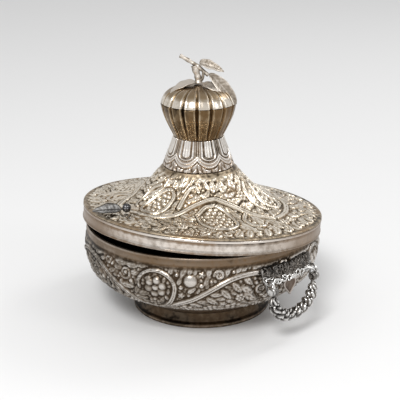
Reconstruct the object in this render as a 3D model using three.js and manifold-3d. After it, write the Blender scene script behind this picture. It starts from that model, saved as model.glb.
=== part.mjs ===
// Round silver box on a foot ring: a chased bowl with two swinging wreath handles, and a lift-off lid
// with a domed, waisted body, a fluted knob and a cast leafy branch. Millimetres, +Z up.
// The origin is the middle of the foot ring's underside. The handles are on +X and -X.
import * as THREE from 'three';
import { mergeVertices, mergeGeometries } from 'three/addons/utils/BufferGeometryUtils.js';
import Module from 'manifold-3d';

const wasm = await Module();
wasm.setup();

// Bowl
const rimRadius = 77.6;
const rimHeight = 61;
const bellyRadius = 79;
const bellyHeight = 45;
const bowlBaseRadius = 43;
const bowlWall = 1;
const plainBandHeight = 6;

// Foot ring
const footRadius = 46.7;
const footHeight = 9;
const footWall = 2.4;
const footTreadWidth = 2.6;

// Lid
const lidClearance = 1.6;
const lidWall = 0.9;
const bandHeight = 9.2;
const domeHeight = 29.4;
const neckBottomRadius = 23.6;
const neckWaistRadius = 21;
const neckHeight = 17.2;
const neckTopRadius = 16;
const lappetCount = 8;
const lappetRelief = 0.7;

// The old lid is out of true: its neck and knob stand upright, and off the middle of its rim
const crownOffset = new THREE.Vector2(-1.7, -5.2);
const domeBendPower = 1.8;

// How the lid sits on the rim, askew
const lidTilt = THREE.MathUtils.degToRad(5.5);
const lidRiseAzimuth = THREE.MathUtils.degToRad(-88);
const lidOverlap = 9.4;
const lidShift = new THREE.Vector2(0.5, -0.2);

// Knob
const knobRadius = 24.9;
const knobFootRadius = 16.3;
const knobCupHeight = 24;
const knobCapHeight = 12.4;
const knobWall = 1.2;
const fluteCount = 16;
const fluteDepth = 0.06;

// Branch and leaves on the knob, and the sprig near the lid's edge
const stemRadius = 1.7;
const stemHeight = 10.3;
const twigRadius = 1.3;
const twigRise = 8;
const twigReach = 12;
const twigTail = 6.5;
const twigDrop = 5;
const twigAzimuth = THREE.MathUtils.degToRad(42);
const leafThickness = 0.9;
const leafFold = 0.25;
const rightLeaf = { length: 24.5, width: 10.5, droop: 13, azimuth: 29, dip: 15, roll: 15, out: 7.5, up: -4 };
const topLeaf = { length: 16.5, width: 9.5, droop: 3.5, azimuth: 57, dip: 12, roll: 25, out: 0.7, up: 2.2 };
const leftLeaf = { length: 20.5, width: 10, droop: 4.3, azimuth: -113, dip: 8, roll: 0, out: 1.5, up: -8.8 };
const smallLeaf = { length: 13.4, width: 7.5, droop: 2.5, azimuth: 5, dip: 8, roll: 0, out: 4.8, up: -9 };
const budRadius = 3;
const sprigInset = 13.6;
const sprigAzimuth = THREE.MathUtils.degToRad(-94);
const sprigHeading = THREE.MathUtils.degToRad(-132);
const sprigLeafLength = 17;
const sprigLeafWidth = 9;
const sprigLeafFold = 0.5;
const sprigLeafDroop = 0.6;
const sprigLift = 1;
const budLift = 0.9;

// Handles
const bracketHalfWidth = 22;
const bracketTop = 52.5;
const bracketHeight = 12.5;
const bracketThickness = 1.4;
const bracketLean = 3.2;
const bracketHoleRadius = 2.3;
const bracketHoleCount = 5;
const scrollRadius = 2.2;
const scrollWire = 0.8;
const earThickness = 1.8;
const earRadius = 2.9;
const pivotStandoff = 2.5;
const pivotHeight = 38.5;
const pivotSpacing = 35;
const pinRadius = 1.2;
const pinHeadRadius = 2;
const pinHeadThickness = 0.8;
const pinClearance = 0.15;
const eyeClearance = 0.35;
const eyeRadius = 2.7;
const eyeWidth = 2.6;
const bailDrop = 20.5;
const bailWire = 3.2;
const bailSwell = 0.85;
const bailSwellCount = 10;
const pendantWidth = 10.7;
const pendantLength = 10.5;
const pendantThickness = 1.3;
const pendantTuck = 0.8;

// Fits and facets
const seatGap = 0.3;
const bodySteps = 56;
const roundSteps = 64;
const smallSteps = 12;
const wireSides = 8;

// Every piece is one closed body whose triangles face out
function closed(geometry) {
  let g = geometry.clone();
  g.deleteAttribute('normal');
  g.deleteAttribute('uv');
  g = mergeVertices(g, 1e-4);
  const p = g.attributes.position;
  const old = g.index.array;
  const kept = [];
  for (let i = 0; i < old.length; i += 3) {
    const [a, b, c] = [old[i], old[i + 1], old[i + 2]];
    if (a !== b && b !== c && c !== a) kept.push(a, b, c);
  }
  const [a, b, c] = [new THREE.Vector3(), new THREE.Vector3(), new THREE.Vector3()];
  let volume = 0;
  for (let i = 0; i < kept.length; i += 3) {
    a.fromBufferAttribute(p, kept[i]);
    b.fromBufferAttribute(p, kept[i + 1]);
    c.fromBufferAttribute(p, kept[i + 2]);
    volume += a.dot(b.cross(c));
  }
  if (volume < 0) kept.reverse();
  g.setIndex(kept);
  return g;
}

function toManifold(geometry) {
  const g = closed(geometry);
  return new wasm.Manifold(new wasm.Mesh({
    numProp: 3,
    vertProperties: new Float32Array(g.attributes.position.array),
    triVerts: new Uint32Array(g.index.array),
  }));
}

function fromManifold(solid) {
  const mesh = solid.getMesh();
  const g = new THREE.BufferGeometry();
  g.setAttribute('position', new THREE.BufferAttribute(new Float32Array(mesh.vertProperties), 3));
  g.setIndex(Array.from(mesh.triVerts));
  return g;
}

function join(...geometries) {
  return fromManifold(geometries.map(toManifold).reduce((sum, next) => sum.add(next)));
}

// Turned about +Z from a profile of [radius, height] pairs
function turned(profile, steps = bodySteps) {
  const points = profile.map(([r, z]) => new THREE.Vector2(r, z));
  return closed(new THREE.LatheGeometry(points, steps).rotateX(Math.PI / 2));
}

// Closed skin over rows of rings, ring by ring, with a point at each end
function skin(rings) {
  const sides = rings[0].length;
  const vertices = [];
  const faces = [];
  for (const ring of rings) for (const v of ring) vertices.push(v.x, v.y, v.z);
  for (let i = 0; i + 1 < rings.length; i += 1) {
    for (let j = 0; j < sides; j += 1) {
      const k = (j + 1) % sides;
      const [a, b, c, d] = [i * sides + j, i * sides + k, (i + 1) * sides + k, (i + 1) * sides + j];
      faces.push(a, b, c, a, c, d);
    }
  }
  const ends = [rings[0], rings[rings.length - 1]].map((ring) => {
    const centre = ring.reduce((sum, v) => sum.add(v), new THREE.Vector3()).divideScalar(sides);
    vertices.push(centre.x, centre.y, centre.z);
    return vertices.length / 3 - 1;
  });
  const last = (rings.length - 1) * sides;
  for (let j = 0; j < sides; j += 1) {
    const k = (j + 1) % sides;
    faces.push(ends[0], k, j, ends[1], last + j, last + k);
  }
  const g = new THREE.BufferGeometry();
  g.setAttribute('position', new THREE.BufferAttribute(new Float32Array(vertices), 3));
  g.setIndex(faces);
  return closed(g);
}

// The same with no ends: the last ring joins the first, so the skin goes round like a tyre
function loop(rings) {
  const sides = rings[0].length;
  const vertices = rings.flat().flatMap((v) => [v.x, v.y, v.z]);
  const faces = [];
  rings.forEach((ring, i) => {
    const next = (i + 1) % rings.length;
    for (let j = 0; j < sides; j += 1) {
      const k = (j + 1) % sides;
      const [a, b, c, d] = [i * sides + j, i * sides + k, next * sides + k, next * sides + j];
      faces.push(a, b, c, a, c, d);
    }
  });
  const g = new THREE.BufferGeometry();
  g.setAttribute('position', new THREE.BufferAttribute(new Float32Array(vertices), 3));
  g.setIndex(faces);
  return closed(g);
}

// Smooth run of [radius, height] points through a few chosen ones
function smooth(points, count) {
  const curve = new THREE.SplineCurve(points.map(([r, z]) => new THREE.Vector2(r, z)));
  return curve.getPoints(count).map((p) => [p.x, p.y]);
}

// The same run moved inwards by a wall, by the normal at each point
function offset(profile, wall) {
  return profile.map(([r, z], i) => {
    const [r0, z0] = profile[Math.max(i - 1, 0)];
    const [r1, z1] = profile[Math.min(i + 1, profile.length - 1)];
    const length = Math.hypot(r1 - r0, z1 - z0);
    return [Math.max(r - (wall * (z1 - z0)) / length, 0), z + (wall * (r1 - r0)) / length];
  });
}

// Radius of a profile at a height
function radiusAt(profile, height) {
  const i = profile.findIndex(([, z]) => z >= height);
  if (i <= 0) return profile[i < 0 ? profile.length - 1 : 0][0];
  const [[r0, z0], [r1, z1]] = [profile[i - 1], profile[i]];
  return r0 + ((r1 - r0) * (height - z0)) / (z1 - z0);
}

const metal = (color, roughness) => new THREE.MeshStandardMaterial({ color, roughness, metalness: 1 });
const box = new THREE.Group();

function put(parent, name, geometry, color, roughness = 0.35) {
  const mesh = new THREE.Mesh(geometry, metal(color, roughness));
  mesh.name = name;
  parent.add(mesh);
  return mesh;
}

// Bowl: belly drawn in to a plain upright band at the rim
const bandStart = rimHeight - plainBandHeight;
const bodyHeight = bellyHeight - footHeight;
const bowlPoint = (reach, rise) => [
  bowlBaseRadius + (bellyRadius - bowlBaseRadius) * reach, footHeight + bodyHeight * rise];
const bowlOutside = [
  ...smooth([
    bowlPoint(0, 0),
    bowlPoint(0.33, 0.167),
    bowlPoint(0.6, 0.333),
    bowlPoint(0.85, 0.54),
    bowlPoint(0.95, 0.76),
    bowlPoint(1, 1),
    [rimRadius, bandStart],
  ], 11),
  [rimRadius, rimHeight - 0.4],
  [rimRadius - 0.3, rimHeight],
];

function bowlBody() {
  const inside = offset(bowlOutside.slice(0, -2), bowlWall)
    .filter(([, z], i) => i % 2 === 0 && z > footHeight + 2);
  return turned([
    [0, footHeight],
    ...bowlOutside,
    [rimRadius - bowlWall, rimHeight],
    ...inside.reverse(),
    [bowlBaseRadius, footHeight + bowlWall],
    [0, footHeight + bowlWall],
  ]);
}

// Foot ring: splayed, with a flat tread and a step above it
function footRing() {
  const top = bowlBaseRadius;
  const outer = [
    [footRadius, 0],
    [footRadius, 1.3],
    [footRadius - (footRadius - top) * 0.6, footHeight * 0.45],
    [top, footHeight],
  ];
  const inner = [
    [top - footWall, footHeight],
    [footRadius - footTreadWidth, 1.3],
    [footRadius - footTreadWidth, 0],
  ];
  return turned([...outer, ...inner, outer[0]]);
}

put(box, 'bowl_body', bowlBody(), 0xb3a899);
put(box, 'foot_ring', footRing(), 0x7d6a55, 0.45);

// Lid: everything on it is in its own group, which stands askew on the rim
const bandInside = rimRadius + lidClearance;
const lidRadius = bandInside + lidWall;
const lid = new THREE.Group();
lid.position.set(lidShift.x, lidShift.y, rimHeight - lidOverlap + bandInside * Math.sin(lidTilt));
const tiltAxis = new THREE.Vector3(Math.sin(lidRiseAzimuth), -Math.cos(lidRiseAzimuth), 0);
lid.quaternion.setFromAxisAngle(tiltAxis, lidTilt);
box.add(lid);

function rimBand() {
  return turned([
    [bandInside, 0.3],
    [bandInside + 0.3, 0],
    [lidRadius, 0],
    [lidRadius, bandHeight],
    [bandInside, bandHeight],
    [bandInside, 0.3],
  ]);
}

const domeBottom = bandHeight + seatGap;
const domePoint = (reach, rise) => [
  neckBottomRadius + (lidRadius - neckBottomRadius) * reach, domeBottom + domeHeight * rise];
const domeOutside = [
  [lidRadius, domeBottom],
  [lidRadius - 0.6, domeBottom + 0.9],
  ...smooth([
    domePoint(0.96, 0.042),
    domePoint(0.67, 0.13),
    domePoint(0.42, 0.25),
    domePoint(0.27, 0.44),
    domePoint(0.12, 0.715),
    domePoint(0, 1),
  ], 10),
];

// A point of the dome: the band's circle turns and slides by degrees into the neck's upright one
const upright = lid.quaternion.clone().invert();
const level = new THREE.Quaternion();
function onDome(radius, height, angle) {
  const inwards = (lidRadius - radius) / (lidRadius - neckBottomRadius);
  const share = THREE.MathUtils.clamp(inwards, 0, 1) ** domeBendPower;
  return new THREE.Vector3(radius * Math.cos(angle), radius * Math.sin(angle), 0)
    .applyQuaternion(level.identity().slerp(upright, share))
    .add(new THREE.Vector3(crownOffset.x * share, crownOffset.y * share, height));
}

const anglesRound = (steps) => Array.from({ length: steps }, (_, j) => (2 * Math.PI * j) / steps);
const crownAngles = anglesRound(roundSteps);
function lidDome() {
  const inside = offset(domeOutside.slice(1).reverse(), -lidWall)
    .map(([r, z]) => [r, Math.max(z, domeBottom)])
    .filter((_, i) => i < 4 || i % 2 === 0);
  const profile = [...domeOutside, ...inside, [lidRadius - lidWall - 0.2, domeBottom]];
  const rings = profile.map(([r, z]) => anglesRound(bodySteps).map((angle) => onDome(r, z, angle)));
  return loop(rings);
}

put(lid, 'lid_rim_band', rimBand(), 0xc9c0b6, 0.3);
put(lid, 'lid_dome', lidDome(), 0xb5a98f);

// Crown: the neck, the knob and the branch, on the top of the dome
const crown = new THREE.Group();
crown.position.set(crownOffset.x, crownOffset.y, domeBottom + domeHeight + seatGap);
crown.quaternion.copy(upright);
lid.add(crown);

// Neck: waisted sleeve with tongue-shaped lappets and a scalloped lower edge. A cusp between two tongues
// faces each multiple of the pitch.
const neckOutline = smooth([
  [neckBottomRadius, 0],
  [(neckBottomRadius + neckWaistRadius) / 2, neckHeight * 0.2],
  [neckWaistRadius, neckHeight * 0.46],
  [neckTopRadius + (neckWaistRadius - neckTopRadius) * 0.72, neckHeight * 0.74],
  [neckTopRadius, neckHeight],
], 6);
function neckRing([radius, height], outward) {
  const share = height / neckHeight;
  return crownAngles.map((angle) => {
    const lobe = Math.abs(Math.sin((lappetCount * angle) / 2));
    const relief = lappetRelief * Math.sin(Math.PI * Math.min(share * 1.1, 1)) * lobe ** 0.7;
    const r = outward ? radius + relief : radius - lidWall;
    const edge = share < 0.01 ? 0.9 * (1 - lobe) : 0;
    return new THREE.Vector3(r * Math.cos(angle), r * Math.sin(angle), height + edge);
  });
}

function lidNeck() {
  const outside = neckOutline.map((point) => neckRing(point, true));
  const inside = [6, 3, 0].map((i) => neckRing(neckOutline[i], false));
  return loop([...outside, ...inside]);
}

put(crown, 'lid_neck', lidNeck(), 0xd0c8bc, 0.3);

// Knob: two fluted shells that meet at the shoulder. A flute's groove faces each multiple of the pitch.
const knobBottom = neckHeight + seatGap;
const knobShoulder = knobBottom + knobCupHeight;
const capBottom = knobShoulder + seatGap;
const capTop = capBottom + knobCapHeight;
function fluted(radius, height, depth) {
  return crownAngles.map((angle) => {
    const r = radius * (1 - depth * (1 - Math.abs(Math.sin((fluteCount * angle) / 2))));
    return new THREE.Vector3(r * Math.cos(angle), r * Math.sin(angle), height);
  });
}

const knobFlare = knobRadius - knobFootRadius;
const cupOutline = smooth([
  [knobFootRadius, 0],
  [knobFootRadius + knobFlare * 0.42, knobCupHeight * 0.31],
  [knobFootRadius + knobFlare * 0.8, knobCupHeight * 0.65],
  [knobRadius, knobCupHeight],
], 6);

function knobCup() {
  const ring = ([radius, height], wall) => fluted(
    radius - wall, knobBottom + height, fluteDepth * Math.min(height / 2, 1));
  const outside = cupOutline.map((point) => ring(point, 0));
  const inside = [6, 3, 1].map((i) => ring(cupOutline[i], knobWall));
  return skin([...outside, ...inside]);
}

function knobCap() {
  const ring = (share, wall) => {
    const angle = (share * Math.PI) / 2;
    const height = capBottom + (knobCapHeight - wall) * Math.sin(angle);
    return fluted((knobRadius - wall) * Math.cos(angle), height, fluteDepth * Math.cos(angle));
  };
  const inside = [0.6, 0].map((share) => ring(share, knobWall));
  const outside = [0, 0.15, 0.32, 0.5, 0.7, 0.88].map((share) => ring(share, 0));
  return skin([...inside, ...outside]);
}

put(crown, 'knob_cup', knobCup(), 0xa08a66, 0.32);
put(crown, 'knob_cap', knobCap(), 0xc4b8a4, 0.28);

// Leaf: a pointed blade, folded along its rib and drooping towards its tip. It lies along +X from its base.
function leaf({ length, width, droop }, fold) {
  const rows = 8;
  const thickness = leafThickness;
  const rings = [];
  for (let i = 0; i <= rows; i += 1) {
    const share = i / rows;
    const half = (width / 2) * Math.max(Math.sin(Math.PI * share ** 0.8) ** 0.75, 0.12);
    const drop = -droop * share * share;
    const lift = fold * half;
    const x = length * share;
    const at = (y, z) => new THREE.Vector3(x, y, z + drop);
    rings.push([
      at(-half, lift), at(-half * 0.5, lift * 0.35), at(0, 0), at(half * 0.5, lift * 0.35), at(half, lift),
      at(half, lift + thickness * 0.6), at(half * 0.5, lift * 0.35 + thickness),
      at(0, thickness * 1.2), at(-half * 0.5, lift * 0.35 + thickness), at(-half, lift + thickness * 0.6),
    ]);
  }
  return skin(rings);
}

// Round wire along a curve
function wire(points, radius, steps) {
  const shape = new THREE.Shape().absarc(0, 0, radius, 0, 2 * Math.PI, false);
  const path = new THREE.CatmullRomCurve3(points.map(([x, y, z]) => new THREE.Vector3(x, y, z)));
  return new THREE.ExtrudeGeometry(shape, { steps, extrudePath: path, curveSegments: wireSides / 2 });
}

const capRoof = capTop - 0.2;
const twigHeight = capRoof + stemHeight;
function finialBranch() {
  const stem = wire([
    [0, 0, capRoof + seatGap],
    [-0.6, 0.4, capRoof + stemHeight / 2],
    [0.4, 0, twigHeight],
  ], stemRadius, 6);
  const [out, across] = [Math.cos(twigAzimuth), Math.sin(twigAzimuth)];
  const bend = [-twigReach * 0.45, twigRise * 0.52];
  const along = [[twigTail, -twigDrop], [0, 0.6], bend, [-twigReach, twigRise]];
  const twig = wire(along.map(([x, z]) => [x * out, x * across, twigHeight + z]), twigRadius, 9);
  return join(stem, twig);
}

put(crown, 'finial_branch', finialBranch(), 0xb9ad9b, 0.4);

// Each leaf springs from a place beside the stem, at its own height, and points its own way
function putLeaf(name, shape) {
  const mesh = put(crown, name, leaf(shape, leafFold), 0xb4a78f, 0.45);
  const azimuth = THREE.MathUtils.degToRad(shape.azimuth);
  const [roll, dip] = [shape.roll, shape.dip].map((turn) => THREE.MathUtils.degToRad(turn));
  mesh.position.set(shape.out * Math.cos(azimuth), shape.out * Math.sin(azimuth), twigHeight + shape.up);
  mesh.rotation.set(roll, dip, azimuth, 'ZYX');
}

putLeaf('finial_leaf_right', rightLeaf);
putLeaf('finial_leaf_top', topLeaf);
putLeaf('finial_leaf_left', leftLeaf);
putLeaf('finial_leaf_small', smallLeaf);

// Sprig near the edge: a folded leaf that points outwards, and a round bud at its inner end
function domeSpot(place) {
  const radius = place.length();
  const i = domeOutside.findIndex(([r]) => r <= radius);
  const [[r0, z0], [r1, z1]] = [domeOutside[Math.max(i - 1, 0)], domeOutside[Math.max(i, 1)]];
  return onDome(radius, z0 + ((z1 - z0) * (r0 - radius)) / (r0 - r1), place.angle());
}
const heading = (length, angle) => new THREE.Vector2(length * Math.cos(angle), length * Math.sin(angle));
const sprigFoot = heading(lidRadius - sprigInset, sprigAzimuth);
const sprigAlong = heading(1, sprigHeading);
const leafBase = domeSpot(sprigFoot);
const leafRun = domeSpot(sprigFoot.clone().addScaledVector(sprigAlong, sprigLeafLength * 0.7)).sub(leafBase);
const sprigShape = { length: sprigLeafLength, width: sprigLeafWidth, droop: sprigLeafDroop };
const sprigLeaf = put(lid, 'sprig_leaf', leaf(sprigShape, sprigLeafFold), 0xa69a86, 0.45);
sprigLeaf.position.copy(leafBase).z += sprigLift;
const sprigSlope = Math.atan2(leafRun.z, Math.hypot(leafRun.x, leafRun.y));
sprigLeaf.rotation.set(0, -sprigSlope, sprigHeading, 'ZYX');
const sprigBud = put(lid, 'sprig_bud', closed(new THREE.IcosahedronGeometry(budRadius, 1)), 0x4c4a4a, 0.4);
const budBase = domeSpot(sprigFoot.clone().addScaledVector(sprigAlong, -budRadius - seatGap));
sprigBud.position.copy(budBase).z += budRadius + budLift;

// Handles. Each side is made for +X and turned into place.
const outsideAt = (height) => radiusAt(bowlOutside, height);
const bracketBottom = bracketTop - bracketHeight;
const plateBottomInside = Math.max(outsideAt(bracketBottom), bellyRadius) + seatGap + bracketLean;
const pivotReach = plateBottomInside + pivotStandoff;
const earY = pivotSpacing / 2 + eyeWidth / 2 + seatGap + earThickness / 2;

// Openwork plate that follows the bowl, with small scrolls below and an ear at each lower corner
function bracket() {
  const back = [0, 0.35, 0.7, 1].map((share) => {
    const height = bracketTop - bracketHeight * share;
    return [outsideAt(height) + seatGap + bracketLean * share, height];
  });
  back[back.length - 1][0] = plateBottomInside;
  const front = back.map(([r, z]) => [r + bracketThickness, z]);
  const ring = toManifold(turned([...back, ...front.reverse(), back[0]], 72));
  const through = 2 * pivotStandoff + 4 * bracketLean + 4 * bracketThickness;
  const window = new THREE.BoxGeometry(through + bracketHalfWidth, bracketHalfWidth * 2, bracketHeight * 2);
  window.translate(pivotReach, 0, bracketTop - bracketHeight / 2);
  let plate = ring.intersect(toManifold(window));
  const pitch = (bracketHalfWidth * 2) / bracketHoleCount;
  const middle = (bracketTop + bracketBottom) / 2;
  for (let i = 0; i < bracketHoleCount; i += 1) {
    const y = (i - (bracketHoleCount - 1) / 2) * pitch;
    const drill = new THREE.CylinderGeometry(bracketHoleRadius, bracketHoleRadius, through, 7);
    drill.rotateZ(Math.PI / 2).translate(pivotReach, y, middle + 0.8);
    plate = plate.subtract(toManifold(drill));
    if (i + 1 < bracketHoleCount) {
      for (const [rise, size] of [[bracketHeight / 2, 1.7], [-bracketHeight / 2 + 2.2, 1.2]]) {
        const notch = new THREE.CylinderGeometry(size, size, through, 6);
        notch.rotateZ(Math.PI / 2).translate(pivotReach, y + pitch / 2, middle + rise);
        plate = plate.subtract(toManifold(notch));
      }
    }
  }
  const reach = plateBottomInside + bracketThickness / 2;
  for (let i = 0; i < bracketHoleCount; i += 1) {
    const y = (i - (bracketHoleCount - 1) / 2) * pitch;
    const x = Math.sqrt(reach ** 2 - y ** 2);
    const curl = new THREE.TorusGeometry(scrollRadius, scrollWire, 4, 8);
    curl.rotateY(Math.PI / 2).rotateZ(Math.asin(y / reach));
    curl.translate(x, y, bracketBottom - scrollRadius + 1);
    plate = plate.add(toManifold(curl));
  }
  for (const side of [-1, 1]) plate = plate.add(toManifold(ear(side)));
  return fromManifold(plate);
}

// Ear: an arm from the plate's lower corner to a round end, bored for the pin
function ear(side) {
  const root = Math.sqrt((plateBottomInside + bracketThickness / 2) ** 2 - earY ** 2) - pivotReach;
  const arm = new THREE.Shape();
  arm.moveTo(root - 0.5, bracketBottom + 3 - pivotHeight);
  arm.lineTo(root - 0.5, bracketBottom - pivotHeight + 0.2);
  arm.lineTo(-earRadius, 0);
  arm.absarc(0, 0, earRadius, Math.PI, 2.4 * Math.PI, false);
  arm.lineTo(root + 2.6, bracketBottom + 3 - pivotHeight);
  arm.closePath();
  const bore = new THREE.Path();
  bore.absarc(0, 0, pinRadius + pinClearance, 0, 2 * Math.PI, true);
  arm.holes.push(bore);
  const cut = { depth: earThickness, bevelEnabled: false, curveSegments: smallSteps };
  const g = new THREE.ExtrudeGeometry(arm, cut).rotateX(Math.PI / 2);
  return g.translate(pivotReach, side * earY + earThickness / 2, pivotHeight);
}

// Pin along Y with a head outside the ear
function pin(side) {
  const inner = pivotSpacing / 2 - eyeWidth / 2 - 0.3;
  const outer = earY + earThickness / 2 + seatGap;
  const g = new THREE.LatheGeometry([
    [0, inner], [pinRadius, inner], [pinRadius, outer], [pinHeadRadius, outer],
    [pinHeadRadius, outer + pinHeadThickness], [0, outer + pinHeadThickness],
  ].map(([r, y]) => new THREE.Vector2(r, y)), smallSteps);
  if (side < 0) g.rotateX(Math.PI);
  return closed(g.translate(pivotReach, 0, pivotHeight));
}

// Wreath: a half ring of leafy swells hanging from two eyes
function bail() {
  const half = pivotSpacing / 2;
  const start = eyeRadius + 2;
  const bottom = bailDrop;
  const centre = -(bottom - half);
  const rings = [];
  const steps = bailSwellCount * 4;
  for (let i = 0; i <= steps; i += 1) {
    const share = i / steps;
    const angle = Math.PI * share;
    const y = -half * Math.cos(angle);
    const z = centre - half * Math.sin(angle) ** 0.9;
    const blend = Math.min(1, Math.sin(angle) * 4);
    const zAt = -start * (1 - blend) + Math.min(z, -start) * blend;
    rings.push({ y, z: zAt, share });
  }
  const path = new THREE.CatmullRomCurve3(rings.map(({ y, z }) => new THREE.Vector3(0, y, z)));
  const sections = [];
  for (let i = 0; i <= steps; i += 1) {
    const share = i / steps;
    const p = path.getPointAt(share);
    const t = path.getTangentAt(share);
    const across = new THREE.Vector3(0, -t.z, t.y);
    const taper = Math.min(1, 0.4 + 6.5 * Math.min(share, 1 - share));
    const r = taper * (bailWire + bailSwell * Math.abs(Math.sin(Math.PI * bailSwellCount * share)));
    sections.push(Array.from({ length: wireSides }, (_, j) => {
      const a = (2 * Math.PI * j) / wireSides;
      return p.clone().addScaledVector(across, r * Math.cos(a)).add(new THREE.Vector3(r * Math.sin(a), 0, 0));
    }));
  }
  let body = toManifold(skin(sections));
  for (const side of [-1, 1]) {
    const bore = pinRadius + eyeClearance;
    const ringProfile = [
      [bore, -eyeWidth / 2], [eyeRadius, -eyeWidth / 2], [eyeRadius, eyeWidth / 2], [bore, eyeWidth / 2],
      [bore, -eyeWidth / 2],
    ].map(([r, y]) => new THREE.Vector2(r, y));
    const eye = new THREE.LatheGeometry(ringProfile, smallSteps).translate(0, side * half, 0);
    const shank = new THREE.CylinderGeometry(1.1, 1.3, start - eyeRadius + 2, wireSides);
    shank.rotateX(Math.PI / 2).translate(0, side * half, -(start + eyeRadius) / 2);
    body = body.add(toManifold(eye)).add(toManifold(shank));
  }
  return fromManifold(body);
}

// Pendant: pointed shield under the middle of the plate
function pendant() {
  const w = pendantWidth / 2;
  const outline = new THREE.Shape();
  outline.moveTo(-w * 0.75, 0);
  outline.lineTo(w * 0.75, 0);
  outline.quadraticCurveTo(w * 1.15, -pendantLength * 0.3, w * 0.8, -pendantLength * 0.5);
  outline.lineTo(0, -pendantLength);
  outline.lineTo(-w * 0.8, -pendantLength * 0.5);
  outline.quadraticCurveTo(-w * 1.15, -pendantLength * 0.3, -w * 0.75, 0);
  const cut = { depth: pendantThickness, bevelEnabled: false, curveSegments: 4 };
  const g = new THREE.ExtrudeGeometry(outline, cut).rotateX(Math.PI / 2).rotateZ(Math.PI / 2);
  const x = plateBottomInside + bracketThickness / 2 - scrollWire - seatGap - pendantThickness;
  return closed(g.translate(x, 0, bracketBottom + pendantTuck));
}

for (const [sideName, turn] of [['right', 0], ['left', Math.PI]]) {
  const side = new THREE.Group();
  side.rotation.z = turn;
  box.add(side);
  put(side, `${sideName}_bracket`, bracket(), 0xc4bfb6, 0.35);
  put(side, `${sideName}_pendant`, pendant(), 0x9a938a, 0.4);
  put(side, `${sideName}_pin_front`, pin(-1), 0xb0aaa2, 0.4);
  put(side, `${sideName}_pin_back`, pin(1), 0xb0aaa2, 0.4);
  const swing = put(side, `${sideName}_bail`, bail(), 0xc8c4bc, 0.32);
  swing.position.set(pivotReach, 0, pivotHeight);
}

export default box;
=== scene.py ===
# Silver box: a chased bowl with two wreath handles, and a lift-off lid with a fluted knob and a leafy branch.
# Shapes are worked out in millimetres and turned into metres when a mesh is made.
import math

import bpy
import numpy as np
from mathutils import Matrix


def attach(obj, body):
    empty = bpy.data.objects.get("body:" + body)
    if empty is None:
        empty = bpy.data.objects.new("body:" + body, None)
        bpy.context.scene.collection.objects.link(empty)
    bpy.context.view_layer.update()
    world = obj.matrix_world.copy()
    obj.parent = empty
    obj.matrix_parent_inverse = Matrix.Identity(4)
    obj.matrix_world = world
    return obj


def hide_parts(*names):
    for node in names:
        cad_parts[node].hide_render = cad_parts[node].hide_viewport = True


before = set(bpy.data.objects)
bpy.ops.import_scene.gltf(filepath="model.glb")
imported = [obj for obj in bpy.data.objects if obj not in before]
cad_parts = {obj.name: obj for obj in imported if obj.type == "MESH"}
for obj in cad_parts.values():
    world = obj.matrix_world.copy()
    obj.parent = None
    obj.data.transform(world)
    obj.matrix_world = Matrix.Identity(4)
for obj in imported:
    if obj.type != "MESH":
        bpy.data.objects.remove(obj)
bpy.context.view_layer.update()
scene = bpy.context.scene
scene.view_settings.view_transform = "Standard"
print("frame loaded:", len(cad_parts), "nodes")


# Camera: where the photograph was taken from, in metres and degrees
cameraSettings = {
    "azimuth": 47.0,
    "elevation": 18.6,
    "distance": 0.702,
    "target": (0.0, 0.0, 0.0728),
    "lens": 93.9,
    "sensor": 36.0,
    "shiftX": -0.004,
}


# The camera stands at the target plus the distance along its azimuth and elevation, and looks back
def makeCamera(settings):
    azimuth = math.radians(settings["azimuth"])
    elevation = math.radians(settings["elevation"])
    away = np.array([math.sin(azimuth) * math.cos(elevation), -math.cos(azimuth) * math.cos(elevation),
                     math.sin(elevation)])
    data = bpy.data.cameras.new("photoCamera")
    data.lens = settings["lens"]
    data.sensor_width = settings["sensor"]
    data.shift_x = settings["shiftX"]
    camera = bpy.data.objects.new("photoCamera", data)
    scene.collection.objects.link(camera)
    camera.location = np.array(settings["target"]) + away * settings["distance"]
    camera.rotation_euler = (math.pi / 2 - elevation, 0.0, azimuth)
    scene.camera = camera


# Floor, lamps and the pale room. Each lamp is its name, place, width and power.
studioSettings = {
    "floorSize": 6.0,
    "floorColor": (0.82, 0.82, 0.82, 1.0),
    "floorRoughness": 0.9,
    "roomColor": (0.80, 0.80, 0.80, 1.0),
    "roomStrength": 0.8,
    "backgroundStrength": 0.9,
    "aim": (0.0, 0.0, 0.07),
    "lamps": [
        ("keyLamp", (0.66, -1.05, 1.28), 0.5, 19.0),
        ("sideLamp", (1.3, 0.25, 0.9), 0.4, 2.0),
        ("backLamp", (0.2, 1.2, 1.2), 0.6, 4.0),
    ],
}


# Floor: one square about the origin, at the height of the table
def makeFloor(settings):
    size = settings["floorSize"] / 2
    corners = [(-size, -size, 0), (size, -size, 0), (size, size, 0), (-size, size, 0)]
    floorMesh = bpy.data.meshes.new("floor")
    floorMesh.from_pydata(corners, [], [(0, 1, 2, 3)])
    floor = bpy.data.objects.new("floor", floorMesh)
    scene.collection.objects.link(floor)
    paint = bpy.data.materials.new("floorPaint")
    paint.use_nodes = True
    shader = paint.node_tree.nodes["Principled BSDF"]
    shader.inputs["Base Color"].default_value = settings["floorColor"]
    shader.inputs["Roughness"].default_value = settings["floorRoughness"]
    floorMesh.materials.append(paint)


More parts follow.
